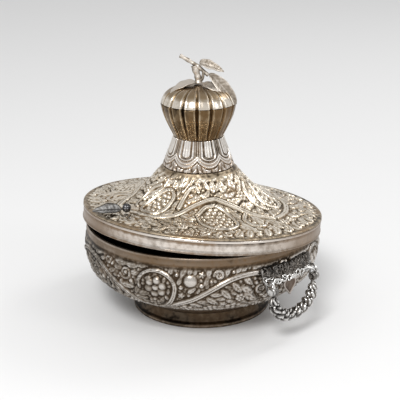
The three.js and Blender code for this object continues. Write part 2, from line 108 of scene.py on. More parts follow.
# Room: one light for what it falls on, and one a little stronger where it is seen, straight, in a mirroring
# surface or through a clear one
def makeRoom(settings):
    world = bpy.data.worlds.new("paleRoom")
    scene.world = world
    world.use_nodes = True
    tree = world.node_tree
    soft = tree.nodes["Background"]
    soft.inputs["Color"].default_value = settings["roomColor"]
    soft.inputs["Strength"].default_value = settings["roomStrength"]
    shown = tree.nodes.new("ShaderNodeBackground")
    shown.inputs["Color"].default_value = settings["roomColor"]
    shown.inputs["Strength"].default_value = settings["backgroundStrength"]
    path = tree.nodes.new("ShaderNodeLightPath")
    seen = path.outputs["Is Camera Ray"]
    for kind in ("Is Glossy Ray", "Is Transmission Ray"):
        either = tree.nodes.new("ShaderNodeMath")
        either.operation = "MAXIMUM"
        tree.links.new(seen, either.inputs[0])
        tree.links.new(path.outputs[kind], either.inputs[1])
        seen = either.outputs[0]
    mix = tree.nodes.new("ShaderNodeMixShader")
    tree.links.new(seen, mix.inputs[0])
    tree.links.new(soft.outputs[0], mix.inputs[1])
    tree.links.new(shown.outputs[0], mix.inputs[2])
    tree.links.new(mix.outputs[0], tree.nodes["World Output"].inputs["Surface"])


# Lamps: square areas, each turned so that it shines at the aim
def makeLamps(settings):
    aim = np.array(settings["aim"])
    for name, place, width, watts in settings["lamps"]:
        data = bpy.data.lights.new(name, "AREA")
        data.size = width
        data.energy = watts
        lamp = bpy.data.objects.new(name, data)
        scene.collection.objects.link(lamp)
        lamp.location = place
        toAim = aim - np.array(place)
        lamp.rotation_euler = (math.atan2(math.hypot(toAim[0], toAim[1]), -toAim[2]), 0.0,
                               math.atan2(toAim[1], toAim[0]) - math.pi / 2)


makeCamera(cameraSettings)
makeFloor(studioSettings)
makeRoom(studioSettings)
makeLamps(studioSettings)
print("camera and studio ready")


# Silver: bright on the worn high points, tarnished in the hollows. Each finish is its worn, middle and dark
# colour and the brown of its tarnish and of its painted shade, then how much tarnish there is, its roughness
# where worn and where dull, and how much the specks stir it.
silverFinishes = {
    "bowl_silver": ((0.76, 0.73, 0.69), (0.25, 0.22, 0.185), (0.022, 0.018, 0.014), (0.17, 0.105, 0.055),
                    0.40, 0.20, 0.46, 1.0),
    "lid_silver": ((0.92, 0.84, 0.72), (0.43, 0.35, 0.25), (0.055, 0.038, 0.022), (0.25, 0.155, 0.075),
                   0.60, 0.21, 0.45, 1.0),
    "polished_silver": ((0.76, 0.70, 0.64), (0.34, 0.29, 0.245), (0.04, 0.03, 0.022), (0.20, 0.12, 0.06),
                        0.75, 0.18, 0.34, 0.7),
    "neck_silver": ((0.95, 0.91, 0.86), (0.38, 0.32, 0.26), (0.03, 0.021, 0.014), (0.28, 0.18, 0.10),
                    0.40, 0.22, 0.38, 0.6),
    "cap_silver": ((0.86, 0.79, 0.69), (0.34, 0.27, 0.19), (0.03, 0.022, 0.014), (0.24, 0.16, 0.08),
                   0.70, 0.18, 0.32, 0.7),
    "gilt_tarnish": ((0.50, 0.40, 0.27), (0.165, 0.115, 0.065), (0.014, 0.009, 0.005), (0.15, 0.085, 0.035),
                     0.60, 0.18, 0.34, 0.7),
    "tarnished_silver": ((0.28, 0.22, 0.165), (0.10, 0.075, 0.052), (0.014, 0.010, 0.007),
                         (0.09, 0.055, 0.03), 0.60, 0.30, 0.5, 1.0),
    "cast_silver": ((0.74, 0.73, 0.71), (0.17, 0.16, 0.15), (0.010, 0.009, 0.008), (0.16, 0.12, 0.08),
                    0.25, 0.20, 0.42, 1.0),
    "pendant_silver": ((0.52, 0.47, 0.43), (0.19, 0.155, 0.13), (0.02, 0.016, 0.013), (0.16, 0.11, 0.08),
                       0.45, 0.34, 0.5, 0.8),
    "leaf_silver": ((0.66, 0.60, 0.53), (0.26, 0.22, 0.175), (0.035, 0.026, 0.02), (0.26, 0.20, 0.13),
                    0.45, 0.42, 0.62, 0.8),
    "dark_silver": ((0.46, 0.46, 0.47), (0.07, 0.07, 0.075), (0.008, 0.008, 0.009), (0.04, 0.03, 0.02),
                    0.15, 0.22, 0.42, 1.0),
}

# Wear that all the finishes share: how coarse its noises are, how far they stir the tone, between which
# tones a colour gives way to the next, and the depth of the grain in metres
wearSettings = {
    "patchScale": 42.0, "patchDetail": 3.0, "patchStir": 0.11,
    "speckScale": 330.0, "speckDetail": 5.0, "speckStir": 0.17,
    "pitScale": 900.0, "pitShare": 0.5,
    "darkToMiddle": (0.06, 0.44), "middleToWorn": (0.42, 0.86),
    "tarnishFrom": (0.46, 0.62), "tarnishLeaves": (0.35, 0.95, 1.0, 0.25),
    "dullToSmooth": (0.2, 0.85, 1.0, 0.0), "stainDulls": 0.5,
    "grainDepth": 0.00012, "grainStrength": 0.5,
}


# One shader node with its settings
def addNode(tree, kind, **settings):
    node = tree.nodes.new(kind)
    for key, value in settings.items():
        setattr(node, key, value)
    return node


# Wear: the tone of a point is its height in the relief, stirred by noise. The group gives a colour, a
# roughness mask and a height for the fine grain.
def makeWearGroup(settings):
    group = bpy.data.node_groups.new("silverWear", "ShaderNodeTree")
    sockets = {"Vector": ("Place",), "Color": ("Worn", "Middle", "Dark", "Brown"),
               "Float": ("Tone", "Tarnish", "Stir", "StainAndShade")}
    for kind, names in sockets.items():
        for name in names:
            group.interface.new_socket(name=name, in_out="INPUT", socket_type="NodeSocket" + kind)
    for name, kind in (("Color", "Color"), ("Dullness", "Float"), ("Grain", "Float")):
        group.interface.new_socket(name=name, in_out="OUTPUT", socket_type="NodeSocket" + kind)
    into = addNode(group, "NodeGroupInput").outputs
    out = addNode(group, "NodeGroupOutput").inputs
    link = group.links.new

    # Short forms for what the group is made of: a noise, a value moved to another range, a sum and a mix
    def noise(scale, detail):
        node = addNode(group, "ShaderNodeTexNoise")
        node.inputs["Scale"].default_value = scale
        node.inputs["Detail"].default_value = detail
        link(into["Place"], node.inputs["Vector"])
        return node.outputs["Fac"]

    def ranged(value, low, high, toLow=0.0, toHigh=1.0):
        node = addNode(group, "ShaderNodeMapRange", interpolation_type="SMOOTHSTEP")
        link(value, node.inputs["Value"])
        node.inputs["From Min"].default_value = low
        node.inputs["From Max"].default_value = high
        node.inputs["To Min"].default_value = toLow
        node.inputs["To Max"].default_value = toHigh
        return node.outputs["Result"]

    def maths(operation, first, second):
        node = addNode(group, "ShaderNodeMath", operation=operation)
        for socket, value in zip(node.inputs, (first, second)):
            if isinstance(value, float):
                socket.default_value = value
            else:
                link(value, socket)
        return node.outputs[0]

    def mixed(factor, first, second):
        node = addNode(group, "ShaderNodeMix", data_type="RGBA")
        link(factor, node.inputs["Factor"])
        link(first, node.inputs["A"])
        link(second, node.inputs["B"])
        return node.outputs["Result"]

    patches = noise(settings["patchScale"], settings["patchDetail"])
    specks = noise(settings["speckScale"], settings["speckDetail"])
    pits = addNode(group, "ShaderNodeTexVoronoi")
    pits.inputs["Scale"].default_value = settings["pitScale"]
    link(into["Place"], pits.inputs["Vector"])
    # Tone stirred by specks and patches, and the three colours along it
    fine = ranged(specks, 0.25, 0.75, -settings["speckStir"], settings["speckStir"])
    coarse = ranged(patches, 0.3, 0.7, -settings["patchStir"], settings["patchStir"])
    stirred = maths("ADD", maths("ADD", into["Tone"], maths("MULTIPLY", fine, into["Stir"])), coarse)
    low = mixed(ranged(stirred, *settings["darkToMiddle"]), into["Dark"], into["Middle"])
    color = mixed(ranged(stirred, *settings["middleToWorn"]), low, into["Worn"])
    # Tarnish lies in patches and leaves the high points, and a stain, which on some pieces is painted shade,
    # lies where the piece asks for it
    stainAndShade = maths("MULTIPLY", ranged(patches, *settings["tarnishFrom"]), into["Tarnish"])
    stainAndShade = maths("MULTIPLY", stainAndShade, ranged(stirred, *settings["tarnishLeaves"]))
    asked = maths("MULTIPLY", into["StainAndShade"], ranged(specks, 0.2, 0.8, 0.5, 1.0))
    stainAndShade = maths("MAXIMUM", stainAndShade, asked)
    link(mixed(stainAndShade, color, into["Brown"]), out["Color"])
    dull = maths("MULTIPLY", stainAndShade, settings["stainDulls"])
    link(maths("ADD", ranged(stirred, *settings["dullToSmooth"]), dull), out["Dullness"])
    pitted = maths("MULTIPLY", pits.outputs["Distance"], settings["pitShare"])
    link(maths("ADD", specks, pitted), out["Grain"])
    return group


wearGroup = makeWearGroup(wearSettings)


# Material of one finish. It reads a piece's tone and its stain and painted shade, or one steady tone where
# the piece has none.
def makeSilver(slot, finish, steadyTone=None):
    worn, middle, dark, brown, tarnish, smoothness, dullness, stir = finish
    material = bpy.data.materials.new(slot)
    material.use_nodes = True
    tree = material.node_tree
    link = tree.links.new
    shader = tree.nodes["Principled BSDF"]
    shader.inputs["Metallic"].default_value = 1.0
    place = addNode(tree, "ShaderNodeTexCoord")
    stainAndShade = addNode(tree, "ShaderNodeAttribute", attribute_name="stainAndShade")
    wear = addNode(tree, "ShaderNodeGroup", node_tree=wearGroup)
    link(place.outputs["Object"], wear.inputs["Place"])
    if steadyTone is None:
        tone = addNode(tree, "ShaderNodeAttribute", attribute_name="tone")
        link(tone.outputs["Fac"], wear.inputs["Tone"])
    else:
        wear.inputs["Tone"].default_value = steadyTone
    link(stainAndShade.outputs["Fac"], wear.inputs["StainAndShade"])
    for name, color in (("Worn", worn), ("Middle", middle), ("Dark", dark), ("Brown", brown)):
        wear.inputs[name].default_value = (*color, 1.0)
    wear.inputs["Tarnish"].default_value = tarnish
    wear.inputs["Stir"].default_value = stir
    link(wear.outputs["Color"], shader.inputs["Base Color"])
    rough = addNode(tree, "ShaderNodeMapRange")
    rough.inputs["To Min"].default_value = smoothness
    rough.inputs["To Max"].default_value = dullness
    link(wear.outputs["Dullness"], rough.inputs["Value"])
    link(rough.outputs["Result"], shader.inputs["Roughness"])
    bump = addNode(tree, "ShaderNodeBump")
    bump.inputs["Strength"].default_value = wearSettings["grainStrength"]
    bump.inputs["Distance"].default_value = wearSettings["grainDepth"]
    link(wear.outputs["Grain"], bump.inputs["Height"])
    link(bump.outputs["Normal"], shader.inputs["Normal"])
    return material


silvers = {slot: makeSilver(slot, finish) for slot, finish in silverFinishes.items()}
print("finishes ready:", len(silvers))


# A patch is one closed skin: its points, its four-cornered faces and a tone for each point.
# Faces are turned round if the volume they enclose comes out negative.
def patchFrom(points, faces, tone):
    a, b, c, d = (points[faces[:, k]] for k in range(4))
    volume = np.einsum("ij,ij->", a, np.cross(b, c)) + np.einsum("ij,ij->", a, np.cross(c, d))
    return points, (faces[:, ::-1] if volume < 0 else faces), tone


# Skin over a grid of points, row by row. The columns always join up; the rows join up too if wrapRows is
# set, and otherwise each end is closed to the middle of its row.
def skinPatch(grid, tone=0.5, wrapRows=False):
    rows, columns = grid.shape[:2]
    tones = np.broadcast_to(np.asarray(tone, float), (rows, columns)).copy()
    if not wrapRows:
        ends = [np.repeat(row.mean(axis=0)[None, :], columns, axis=0)[None] for row in (grid[0], grid[-1])]
        grid = np.concatenate([ends[0], grid, ends[1]])
        tones = np.concatenate([tones[:1], tones, tones[-1:]])
        rows += 2
    index = np.arange(rows * columns).reshape(rows, columns)
    lower = index if wrapRows else index[:-1]
    upper = np.roll(index, -1, axis=0) if wrapRows else index[1:]
    faces = np.stack([lower, np.roll(lower, -1, axis=1), np.roll(upper, -1, axis=1), upper], axis=-1)
    return patchFrom(grid.reshape(-1, 3), faces.reshape(-1, 4), tones.ravel())


# Points that coincide within a patch are welded, and a face that loses a corner by that becomes a triangle.
# Returns the points, the tones, the faces' corners one after the other, and how many corners each has.
def welded(patches):
    counts = [len(points) for points, _, _ in patches]
    starts = np.cumsum([0] + counts[:-1])
    points = np.concatenate([patch[0] for patch in patches]) * 0.001
    faces = np.concatenate([patch[1] + start for patch, start in zip(patches, starts)])
    tone = np.clip(np.concatenate([patch[2] for patch in patches]), 0.0, 1.0)
    owner = np.repeat(np.arange(len(patches)), counts)
    keys = np.column_stack([np.round(points * 1e7).astype(np.int64), owner])
    _, first, inverse = np.unique(keys, axis=0, return_index=True, return_inverse=True)
    faces = inverse.reshape(-1)[faces]
    same = faces == np.roll(faces, -1, axis=1)
    whole = faces[same.sum(axis=1) == 0]
    three = faces[same.sum(axis=1) == 1]
    three = three[~same[same.sum(axis=1) == 1]].reshape(-1, 3)
    totals = np.concatenate([np.full(len(whole), 4), np.full(len(three), 3)])
    return points[first], tone[first], np.concatenate([whole.ravel(), three.ravel()]), totals


# One object from its patches, with its tone, its stain and painted shade, and its finish.
# The slot is not used.
def makePiece(name, patches, body, finish, replaced, slot=None, stainAndShadeAt=None):
    points, tone, corners, totals = welded(patches)
    mesh = bpy.data.meshes.new(name)
    mesh.vertices.add(len(points))
    mesh.vertices.foreach_set("co", points.ravel())
    mesh.loops.add(len(corners))
    mesh.loops.foreach_set("vertex_index", corners)
    mesh.polygons.add(len(totals))
    mesh.polygons.foreach_set("loop_start", np.concatenate([[0], np.cumsum(totals)[:-1]]))
    mesh.polygons.foreach_set("loop_total", totals)
    mesh.polygons.foreach_set("use_smooth", np.ones(len(totals), bool))
    mesh.update(calc_edges=True)
    stainAndShade = np.zeros(len(points)) if stainAndShadeAt is None else np.clip(stainAndShadeAt(points * 1000), 0, 1)
    for key, values in (("tone", tone), ("stainAndShade", stainAndShade)):
        attribute = mesh.attributes.new(key, "FLOAT", "POINT")
        attribute.data.foreach_set("value", values.astype(np.float32))
    mesh.materials.append(silvers[finish])
    piece = bpy.data.objects.new(name, mesh)
    scene.collection.objects.link(piece)
    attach(piece, body)
    slot or finish
    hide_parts(*replaced)
    print("made", name, "with", len(totals), "faces")


# Smooth run through chosen points, the same curve as the frame's outlines: on each stretch it is the cubic
# whose slopes are half the step between the neighbours
def splineRun(points, count):
    points = np.array(points, float)
    last = len(points) - 1
    along = np.linspace(0, last, count)
    i = np.minimum(along.astype(int), last - 1)
    t = (along - i)[:, None]
    p0, p1, p2, p3 = (points[np.clip(i + k, 0, last)] for k in (-1, 0, 1, 2))
    return p1 + 0.5 * t * (p2 - p0 + t * (2 * p0 - 5 * p1 + 4 * p2 - p3 + t * (3 * (p1 - p2) + p3 - p0)))


# Length of a run up to each of its points: the sum of the steps
def lengthsOf(run):
    return np.concatenate([[0], np.cumsum(np.linalg.norm(np.diff(run, axis=0), axis=1))])


# The same run with its points evenly spaced by length
def evenRun(run, count):
    steps = lengthsOf(run)
    wanted = np.linspace(0, steps[-1], count)
    return np.column_stack([np.interp(wanted, steps, run[:, k]) for k in range(run.shape[1])])


# Smooth, evenly spaced run through a few places
def smoothPlaces(places, count):
    return evenRun(splineRun(places, 400), count)


# Nought below low, one above high, and three t squared less two t cubed between them
def smoothStep(low, high, value):
    t = np.clip((value - low) / (high - low), 0.0, 1.0)
    return t * t * (3 - 2 * t)


# Bell of height one about nought: e to the minus square of distance over width
def bell(distance, width):
    return np.exp(-(distance / width) ** 2)


# Round top of height one and half width one: the root of one less the square, and nought outside
def domed(distance):
    return np.sqrt(np.clip(1 - distance ** 2, 0, None))


# Average over neighbours, a few times; the columns wrap round
def blurred(field, passes):
    for _ in range(passes):
        field = (np.roll(field, 1, axis=1) + np.roll(field, -1, axis=1) + 2 * field) / 4
        padded = np.concatenate([field[:1], field, field[-1:]])
        field = (padded[:-2] + padded[2:] + 2 * field) / 4
    return field


# Tone of a relief: raised ground is lighter, and a point is lighter still where it stands above what lies
# round it and darker where it lies below
def toneOf(relief, scale, passes, base, lift, local):
    tone = base + lift * relief / scale + local * (relief - blurred(relief, passes)) / scale
    return np.clip(tone, 0.0, 1.0)


# Angles of so many columns, all the way round
def roundAngles(count):
    return np.arange(count) / count * 2 * math.pi


# Direction of each point from the middle, as an angle about +Z
def azimuthOf(points, middle=(0.0, 0.0)):
    return np.arctan2(points[:, 1] - middle[1], points[:, 0] - middle[0])


# How the last gaps of a ground are filled: how many motifs at most, from which room on they are posies or
# leaves and not balls, and how much of a motif's size is taken up
fillSettings = {"tries": 300, "posyFrom": 3.6, "leafFrom": 1.35, "taken": 0.92}


# Relief field: a height for each point of a band that runs round the piece and repeats. Columns are angles,
# rows are lengths up the outline, and near a motif both are measured in millimetres.
class Relief:
    def __init__(self, outline, chasing):
        self.lengths = lengthsOf(outline)
        self.radius = outline[:, 0]
        self.repeats = chasing["repeats"]
        self.span = 2 * math.pi / self.repeats
        self.middle = math.radians(chasing["middle"])
        self.angles = (np.arange(chasing["columns"]) / chasing["columns"] - 0.5) * self.span + self.middle
        self.height = np.zeros((len(outline), chasing["columns"]))
        self.stems = []

    # Radius of the piece at a length
    def radiusAt(self, length):
        return np.interp(length, self.lengths, self.radius)

    # Difference of two angles, wrapped into one repeat
    def wrapped(self, angle):
        return (angle + self.span / 2) % self.span - self.span / 2

    # Offsets in millimetres from a place: the angle between times the mean of both radii, and the length
    def offsets(self, angle, length):
        across = self.wrapped(self.angles[None, :] - angle)
        return across * (0.5 * (self.radius[:, None] + self.radiusAt(length))), self.lengths[:, None] - length

    # Place at so many millimetres from another, in a direction
    def placeFrom(self, angle, length, spin, reach):
        return angle + reach * np.cos(spin) / self.radiusAt(length), length + reach * np.sin(spin)

    # A shape only ever adds to what is there: the higher of both stands
    def raiseTo(self, shape):
        self.height = np.maximum(self.height, shape)

    # Half ball
    def bead(self, angle, length, size, rise):
        x, y = self.offsets(angle, length)
        self.raiseTo(rise * np.sqrt(np.clip(1 - (x * x + y * y) / size ** 2, 0, None)))

    # Flower: petals round a middle bead, each petal a rounded lobe with a crease along it
    def flower(self, angle, length, size, rise, petals):
        x, y = self.offsets(angle, length)
        far = np.hypot(x, y) / size
        petal = np.abs(np.cos(np.arctan2(y, x) * petals / 2))
        lobe = domed(far / (0.62 + 0.38 * petal)) * (0.35 + 0.65 * petal ** 0.7)
        self.raiseTo(rise * lobe * smoothStep(0.0, 0.45, far))
        self.bead(angle, length, size * 0.34, rise * 1.05)

    # Posy: round petals in a ring about a ball
    def posy(self, angle, length, size, rise, petals, turn=0.3):
        for k in range(petals):
            place = self.placeFrom(angle, length, turn + 2 * math.pi * k / petals, 0.63 * size)
            self.bead(*place, 0.36 * size, rise * 0.9)
        self.bead(angle, length, 0.3 * size, rise)

    # Leaf: pointed oval along its own direction, with a groove down the middle and slanting veins
    def leaf(self, angle, length, turn, long, wide, rise, veins, groove=0.45):
        x, y = self.offsets(angle, length)
        c, s = math.cos(math.radians(turn)), math.sin(math.radians(turn))
        a, b = (x * c + y * s) / long + 0.5, (y * c - x * s)
        half = wide / 2 * np.sin(math.pi * np.clip(a, 0, 1) ** 0.85) ** 0.8 + 1e-6
        body = domed(b / half) * ((a > 0) & (a < 1))
        middle = 1 - groove * bell(b, 0.09 * wide)
        slant = 1 - 0.22 * (0.5 + 0.5 * np.cos(2 * math.pi * (a * veins - np.abs(b) / wide * 2.2)))
        self.raiseTo(rise * body * middle * slant)

    # Stem: a ridge along a run of (angle, length) places, split by a groove along its middle. Its height at
    # a point is a round top over the distance to the nearest stretch of the run.
    def stem(self, run, wide, rise, groove, taper=0.0):
        run = np.array(run, float)
        middle = run[len(run) // 2]
        x, y = self.offsets(middle[0], middle[1])
        px = (run[:, 0] - middle[0]) * self.radiusAt(run[:, 1])
        py = run[:, 1] - middle[1]
        reach = wide * 1.5
        nearX = (x > px.min() - reach) & (x < px.max() + reach)
        nearY = (y > py.min() - reach) & (y < py.max() + reach)
        rows, columns = np.nonzero(nearX & nearY)
        # Angles are spread by the radius at each place, so that a run keeps its place on a coned stretch
        gx = (x / (0.5 * (self.radius[:, None] + self.radiusAt(middle[1]))))[rows, columns]
        gx = gx * self.radius[rows]
        gy = y[rows, 0]
        ax, ay, dx, dy = px[:-1], py[:-1], np.diff(px), np.diff(py)
        t = ((gx[:, None] - ax) * dx + (gy[:, None] - ay) * dy) / (dx * dx + dy * dy + 1e-9)
        t = np.clip(t, 0, 1)
        far = np.hypot(gx[:, None] - ax - t * dx, gy[:, None] - ay - t * dy)
        best = far.argmin(axis=1)
        share = (best + t[np.arange(len(best)), best]) / (len(run) - 1)
        far = far.min(axis=1)
        half = wide / 2 * (1 - taper * share)
        shape = rise * domed(far / half) * (1 - groove * bell(far, 0.2 * half))
        self.stems.append((rows, columns, shape, smoothStep(half + 0.1, half + 1.1, far)))
        self.height[rows, columns] = np.maximum(self.height[rows, columns], shape)

    # The ground beside each stem is beaten down, and the stems stand on it
    def clearStems(self):
        for rows, columns, _, clear in self.stems:
            self.height[rows, columns] *= 0.12 + 0.88 * clear
        for rows, columns, shape, _ in self.stems:
            self.height[rows, columns] = np.maximum(self.height[rows, columns], shape)

    # Curl: a stem that winds in towards a place, with a bead at its eye
    def curl(self, angle, length, size, turns, start, wide, rise, hand):
        t = np.linspace(0, 1, 40)
        spin = math.radians(start) + hand * 2 * math.pi * turns * t
        run = np.column_stack(self.placeFrom(angle, length, spin, size * (1 - 0.62 * t)))
        self.stem(run, wide, rise, 0.35, 0.3)
        self.bead(angle, length, size * 0.45, rise * 1.1)

    # Distance in millimetres from each point of the field to the nearest taken one, looking no further than
    # 12 up or down the outline
    def roomRound(self, taken):
        beside = np.roll(taken, 1, axis=1)[1:-1] & np.roll(taken, -1, axis=1)[1:-1]
        edge = taken.copy()
        edge[1:-1] &= ~(taken[1:-1] & taken[:-2] & taken[2:] & beside)
        rows, columns = np.nonzero(edge)
        room = np.zeros(taken.shape)
        for i in np.flatnonzero(~taken.all(axis=1)):
            close = np.abs(self.lengths[rows] - self.lengths[i]) < 12
            across = self.wrapped(self.angles[:, None] - self.angles[columns[close]][None, :])
            across = across * 0.5 * (self.radius[i] + self.radius[rows[close]])
            room[i] = np.hypot(across, self.lengths[rows[close]] - self.lengths[i]).min(axis=1)
        room[taken] = 0
        return room

    # Fills what is left of the ground: again and again the roomiest place gets a posy, a leaf or a ball
    def fill(self, low, high, least, bigger, flow):
        outside = (self.lengths < low) | (self.lengths > high)
        room = self.roomRound((blurred(self.height, 2) > 0.05) | outside[:, None])
        for _ in range(fillSettings["tries"]):
            row, column = np.unravel_index(room.argmax(), room.shape)
            size = room[row, column]
            if size < least:
                break
            angle, length = self.angles[column], self.lengths[row]
            if size > fillSettings["posyFrom"]:
                self.posy(angle, length, size, 1.5, 6, row)
            elif size > fillSettings["leafFrom"]:
                long, wide = bigger * (3.3 * size + 0.8), bigger * (1.75 * size + 0.3)
                self.leaf(angle, length, flow(angle, length), long, wide, 0.75 + 0.28 * size, 3, 0.3)
            else:
                self.bead(angle, length, size * 1.05, 0.2 + 0.6 * size)
            x, y = self.offsets(angle, length)
            room = np.minimum(room, np.hypot(x, y) - size * fillSettings["taken"] * bigger)

    # Ground between the motifs: low scales, drawn out along one direction. Each stands where the nearest
    # place of an uneven lattice lies, and its height is one less the square of the distance.
    def scales(self, pitch, long, lean, rise, low, high):
        room = 1 - smoothStep(0.03, 0.3, blurred(self.height, 2))
        count = int(round(self.span * self.radius.max() / pitch))
        u = (self.angles / self.span + 0.5)[None, :] * count + lean * self.lengths[:, None] / pitch
        v = np.repeat(self.lengths[:, None] / (pitch * long), len(self.angles), axis=1)
        best = np.full(self.height.shape, 9.0)
        for i in (-1, 0, 1):
            for j in (-1, 0, 1):
                cellU, cellV = np.floor(u) + i, np.floor(v) + j
                seed = np.sin((cellU % count) * 127.1 + cellV * 311.7) * 43758.5453
                jitterU = seed - np.floor(seed)
                jitterV = (seed * 1.7) - np.floor(seed * 1.7)
                best = np.minimum(best, np.hypot(u - cellU - jitterU, v - cellV - jitterV))
        zone = smoothStep(low, low + 1, self.lengths) * (1 - smoothStep(high - 1, high, self.lengths))
        self.raiseTo(rise * room * np.clip(1 - (best / 0.62) ** 2, 0, None) * zone[:, None])

    # The whole turn: its angles, and the heights repeated
    def tiled(self):
        columns = self.height.shape[1] * self.repeats
        angles = self.middle - self.span / 2 + np.arange(columns) / columns * 2 * math.pi
        return angles, np.tile(self.height, (1, self.repeats))


# Sizes that the pieces share with the frame, in millimetres and degrees
sizes = {
    "rimRadius": 77.6, "rimHeight": 61.0, "bandStart": 55.0, "bowlWall": 1.9,
    "bellyRadius": 79.0, "bellyHeight": 45.0, "bowlBase": 43.0, "footRadius": 46.7, "footHeight": 9.0,
    "lidRadius": 80.1, "bandInside": 79.2, "bandHeight": 9.2, "domeBottom": 9.5, "domeHeight": 29.4,
    "neckBottom": 23.6, "neckWaist": 21.0, "neckTop": 16.0, "neckHeight": 17.2,
    "crownShift": (-1.7, -5.2), "crownGap": 0.3, "bendPower": 1.8,
    "lidTilt": 5.5, "lidRise": -88.0, "lidOverlap": 9.4, "lidShift": (0.5, -0.2), "lidWall": 1.7,
    "knobRadius": 24.9, "knobFoot": 16.3, "cupHeight": 24.0, "capHeight": 12.4, "cupRaise": 2.0,
    "stemHeight": 10.3,
}


# Turn by an angle about an axis: cosine of the identity, sine of the cross product, and the rest along it
def aboutAxis(axis, angle):
    x, y, z = np.array(axis, float) / np.linalg.norm(axis)
    c, s = math.cos(angle), math.sin(angle)
    cross = np.array([[0, -z, y], [z, 0, -x], [-y, x, 0]])
    return np.eye(3) * c + s * cross + (1 - c) * np.outer([x, y, z], [x, y, z])


# The lid leans about this axis; its crown stands upright again
rise = math.radians(sizes["lidRise"])
tilt = math.radians(sizes["lidTilt"])
tiltAxis = np.array([math.sin(rise), -math.cos(rise), 0.0])
lidTurn = aboutAxis(tiltAxis, tilt)
lidLevel = sizes["rimHeight"] - sizes["lidOverlap"] + sizes["bandInside"] * math.sin(tilt)
lidPlace = np.array([*sizes["lidShift"], lidLevel])
crownLevel = sizes["domeBottom"] + sizes["domeHeight"] + sizes["crownGap"]
crownPlace = lidTurn @ np.array([*sizes["crownShift"], crownLevel]) + lidPlace


# From the lid's own frame to where it lies on the bowl, for points or for a grid of them
def toLid(points):
    return points @ lidTurn.T + lidPlace


# Grid of points from radii and heights (one column for each angle) turned about +Z
def turnedGrid(radius, height, angles):
    radius, height, angles = np.broadcast_arrays(radius, height, angles)
    return np.stack([radius * np.cos(angles), radius * np.sin(angles), height], axis=-1)


# Normals of an outline that runs upwards: its slope turned a quarter, away from the axis
def normalsOf(outline):
    run = np.gradient(outline, axis=0)
    run /= np.linalg.norm(run, axis=1)[:, None]
    return np.column_stack([run[:, 1], -run[:, 0]])


# Outline pushed out along its normals by a shift for each of its points and each angle
def pushedOut(outline, normals, shift):
    return outline[:, :1] + normals[:, :1] * shift, outline[:, 1:] + normals[:, 1:] * shift


# How far a radius on the lid has come from the rim to the neck, with the bend's power
def crownShare(radius):
    share = np.clip((sizes["lidRadius"] - radius) / (sizes["lidRadius"] - sizes["neckBottom"]), 0, 1)
    return share ** sizes["bendPower"]


# Point of the lid's dome: the band's circle leans back by degrees into the crown's upright one
def onDome(radius, height, angles, share):
    lean = -tilt * share
    x, y = radius * np.cos(angles), radius * np.sin(angles)
    ax, ay = tiltAxis[:2]
    along = ax * x + ay * y
    c, s = np.cos(lean), np.sin(lean)
    px = x * c + ax * along * (1 - c)
    py = y * c + ay * along * (1 - c)
    pz = (ax * y - ay * x) * s
    shift = sizes["crownShift"]
    return np.stack(np.broadcast_arrays(px + shift[0] * share, py + shift[1] * share, pz + height), axis=-1)


# Chasing on the bowl: a stem that waves round it, a posy in a curl above each trough, and scrolls, leaves
# and beads between. Places are (degrees round, millimetres up).
bowlChasing = {
    "repeats": 4, "columns": 200, "rows": 104, "middle": -62.0, "sink": 0.95, "low": 22.0, "high": 54.4,
    "stemWidth": 3.4, "least": 0.8, "bigger": 1.0, "lean": 38.0, "border": 20.6, "tone": (0.20, 0.54, 0.8),
    "wave": [(-107.4, 49.2), (-100, 47.4), (-93.4, 43.0), (-85.2, 34.9), (-76.9, 27.8), (-70.8, 24.3),
             (-65, 23.9), (-60.5, 25.4), (-54, 29.3), (-46.1, 34), (-37.8, 41), (-30.6, 46.5), (-23.6, 49.0),
             (-17.4, 49.2)],
    "curls": [[(-61.5, 25.8), (-58, 30.2), (-55.8, 36.6), (-55.3, 43), (-57.6, 48.2), (-62.2, 51.2),
               (-67, 51.2), (-71, 48.2), (-73.2, 43.4), (-72.8, 38.6)]],
    "flowers": [(-64.6, 40.2, 7.9, 6), (-52.4, 36.0, 2.6, 5), (-42.8, 50.6, 2.4, 5), (-100.4, 35.0, 6.6, 6),
                (-24.6, 33.4, 3.4, 6), (-32.6, 29.0, 2.6, 5)],
    "beads": [(-48.1, 46.6, 4.4), (-54.3, 50.2, 1.4), (-52.4, 42.0, 1.7), (-43.0, 43.4, 1.6),
              (-91.6, 31.4, 1.9), (-89.4, 49.6, 1.8), (-84.6, 42.4, 1.3), (-73.6, 52.6, 1.2),
              (-86.4, 52.2, 1.2), (-38.6, 46.2, 1.1), (-78.4, 33.0, 1.2), (-70.4, 30.6, 1.3),
              (-93.6, 37.2, 1.3), (-17.0, 42.6, 1.5), (-28.2, 51.6, 1.2)],
    "scrolls": [(-80.4, 46.4, 4.6, 200, 1), (-92.0, 51.0, 2.6, 20, -1), (-35.0, 50.2, 3.2, 180, -1),
                (-14.6, 37.4, 3.4, 90, 1)],
    "leaves": [(-21.4, 45.0, -48, 9.5, 4.8), (-26.6, 40.8, -52, 10.5, 5.0), (-31.6, 36.6, -50, 10.5, 5.0),
               (-38.0, 31.8, -38, 10.0, 4.8), (-45.6, 28.4, -20, 9.0, 4.4), (-47.4, 40.2, 40, 7.0, 3.6),
               (-74.6, 36.2, 65, 8.0, 3.8), (-77.4, 41.4, 120, 7.0, 3.4), (-89.2, 44.6, 30, 8.0, 3.8),
               (-83.6, 38.8, 60, 6.5, 3.2), (-96.4, 49.8, 20, 7.0, 3.2), (-83.4, 28.2, -150, 8.5, 4.2),
               (-90.4, 26.8, 160, 8.5, 4.0), (-106.4, 27.4, 10, 9.0, 4.4), (-97.6, 27.2, -10, 8.5, 4.2),
               (-68.2, 46.2, 200, 5.0, 2.8), (-59.4, 33.0, -60, 4.6, 2.6), (-104.8, 41.2, 70, 6.0, 3.4)],
}

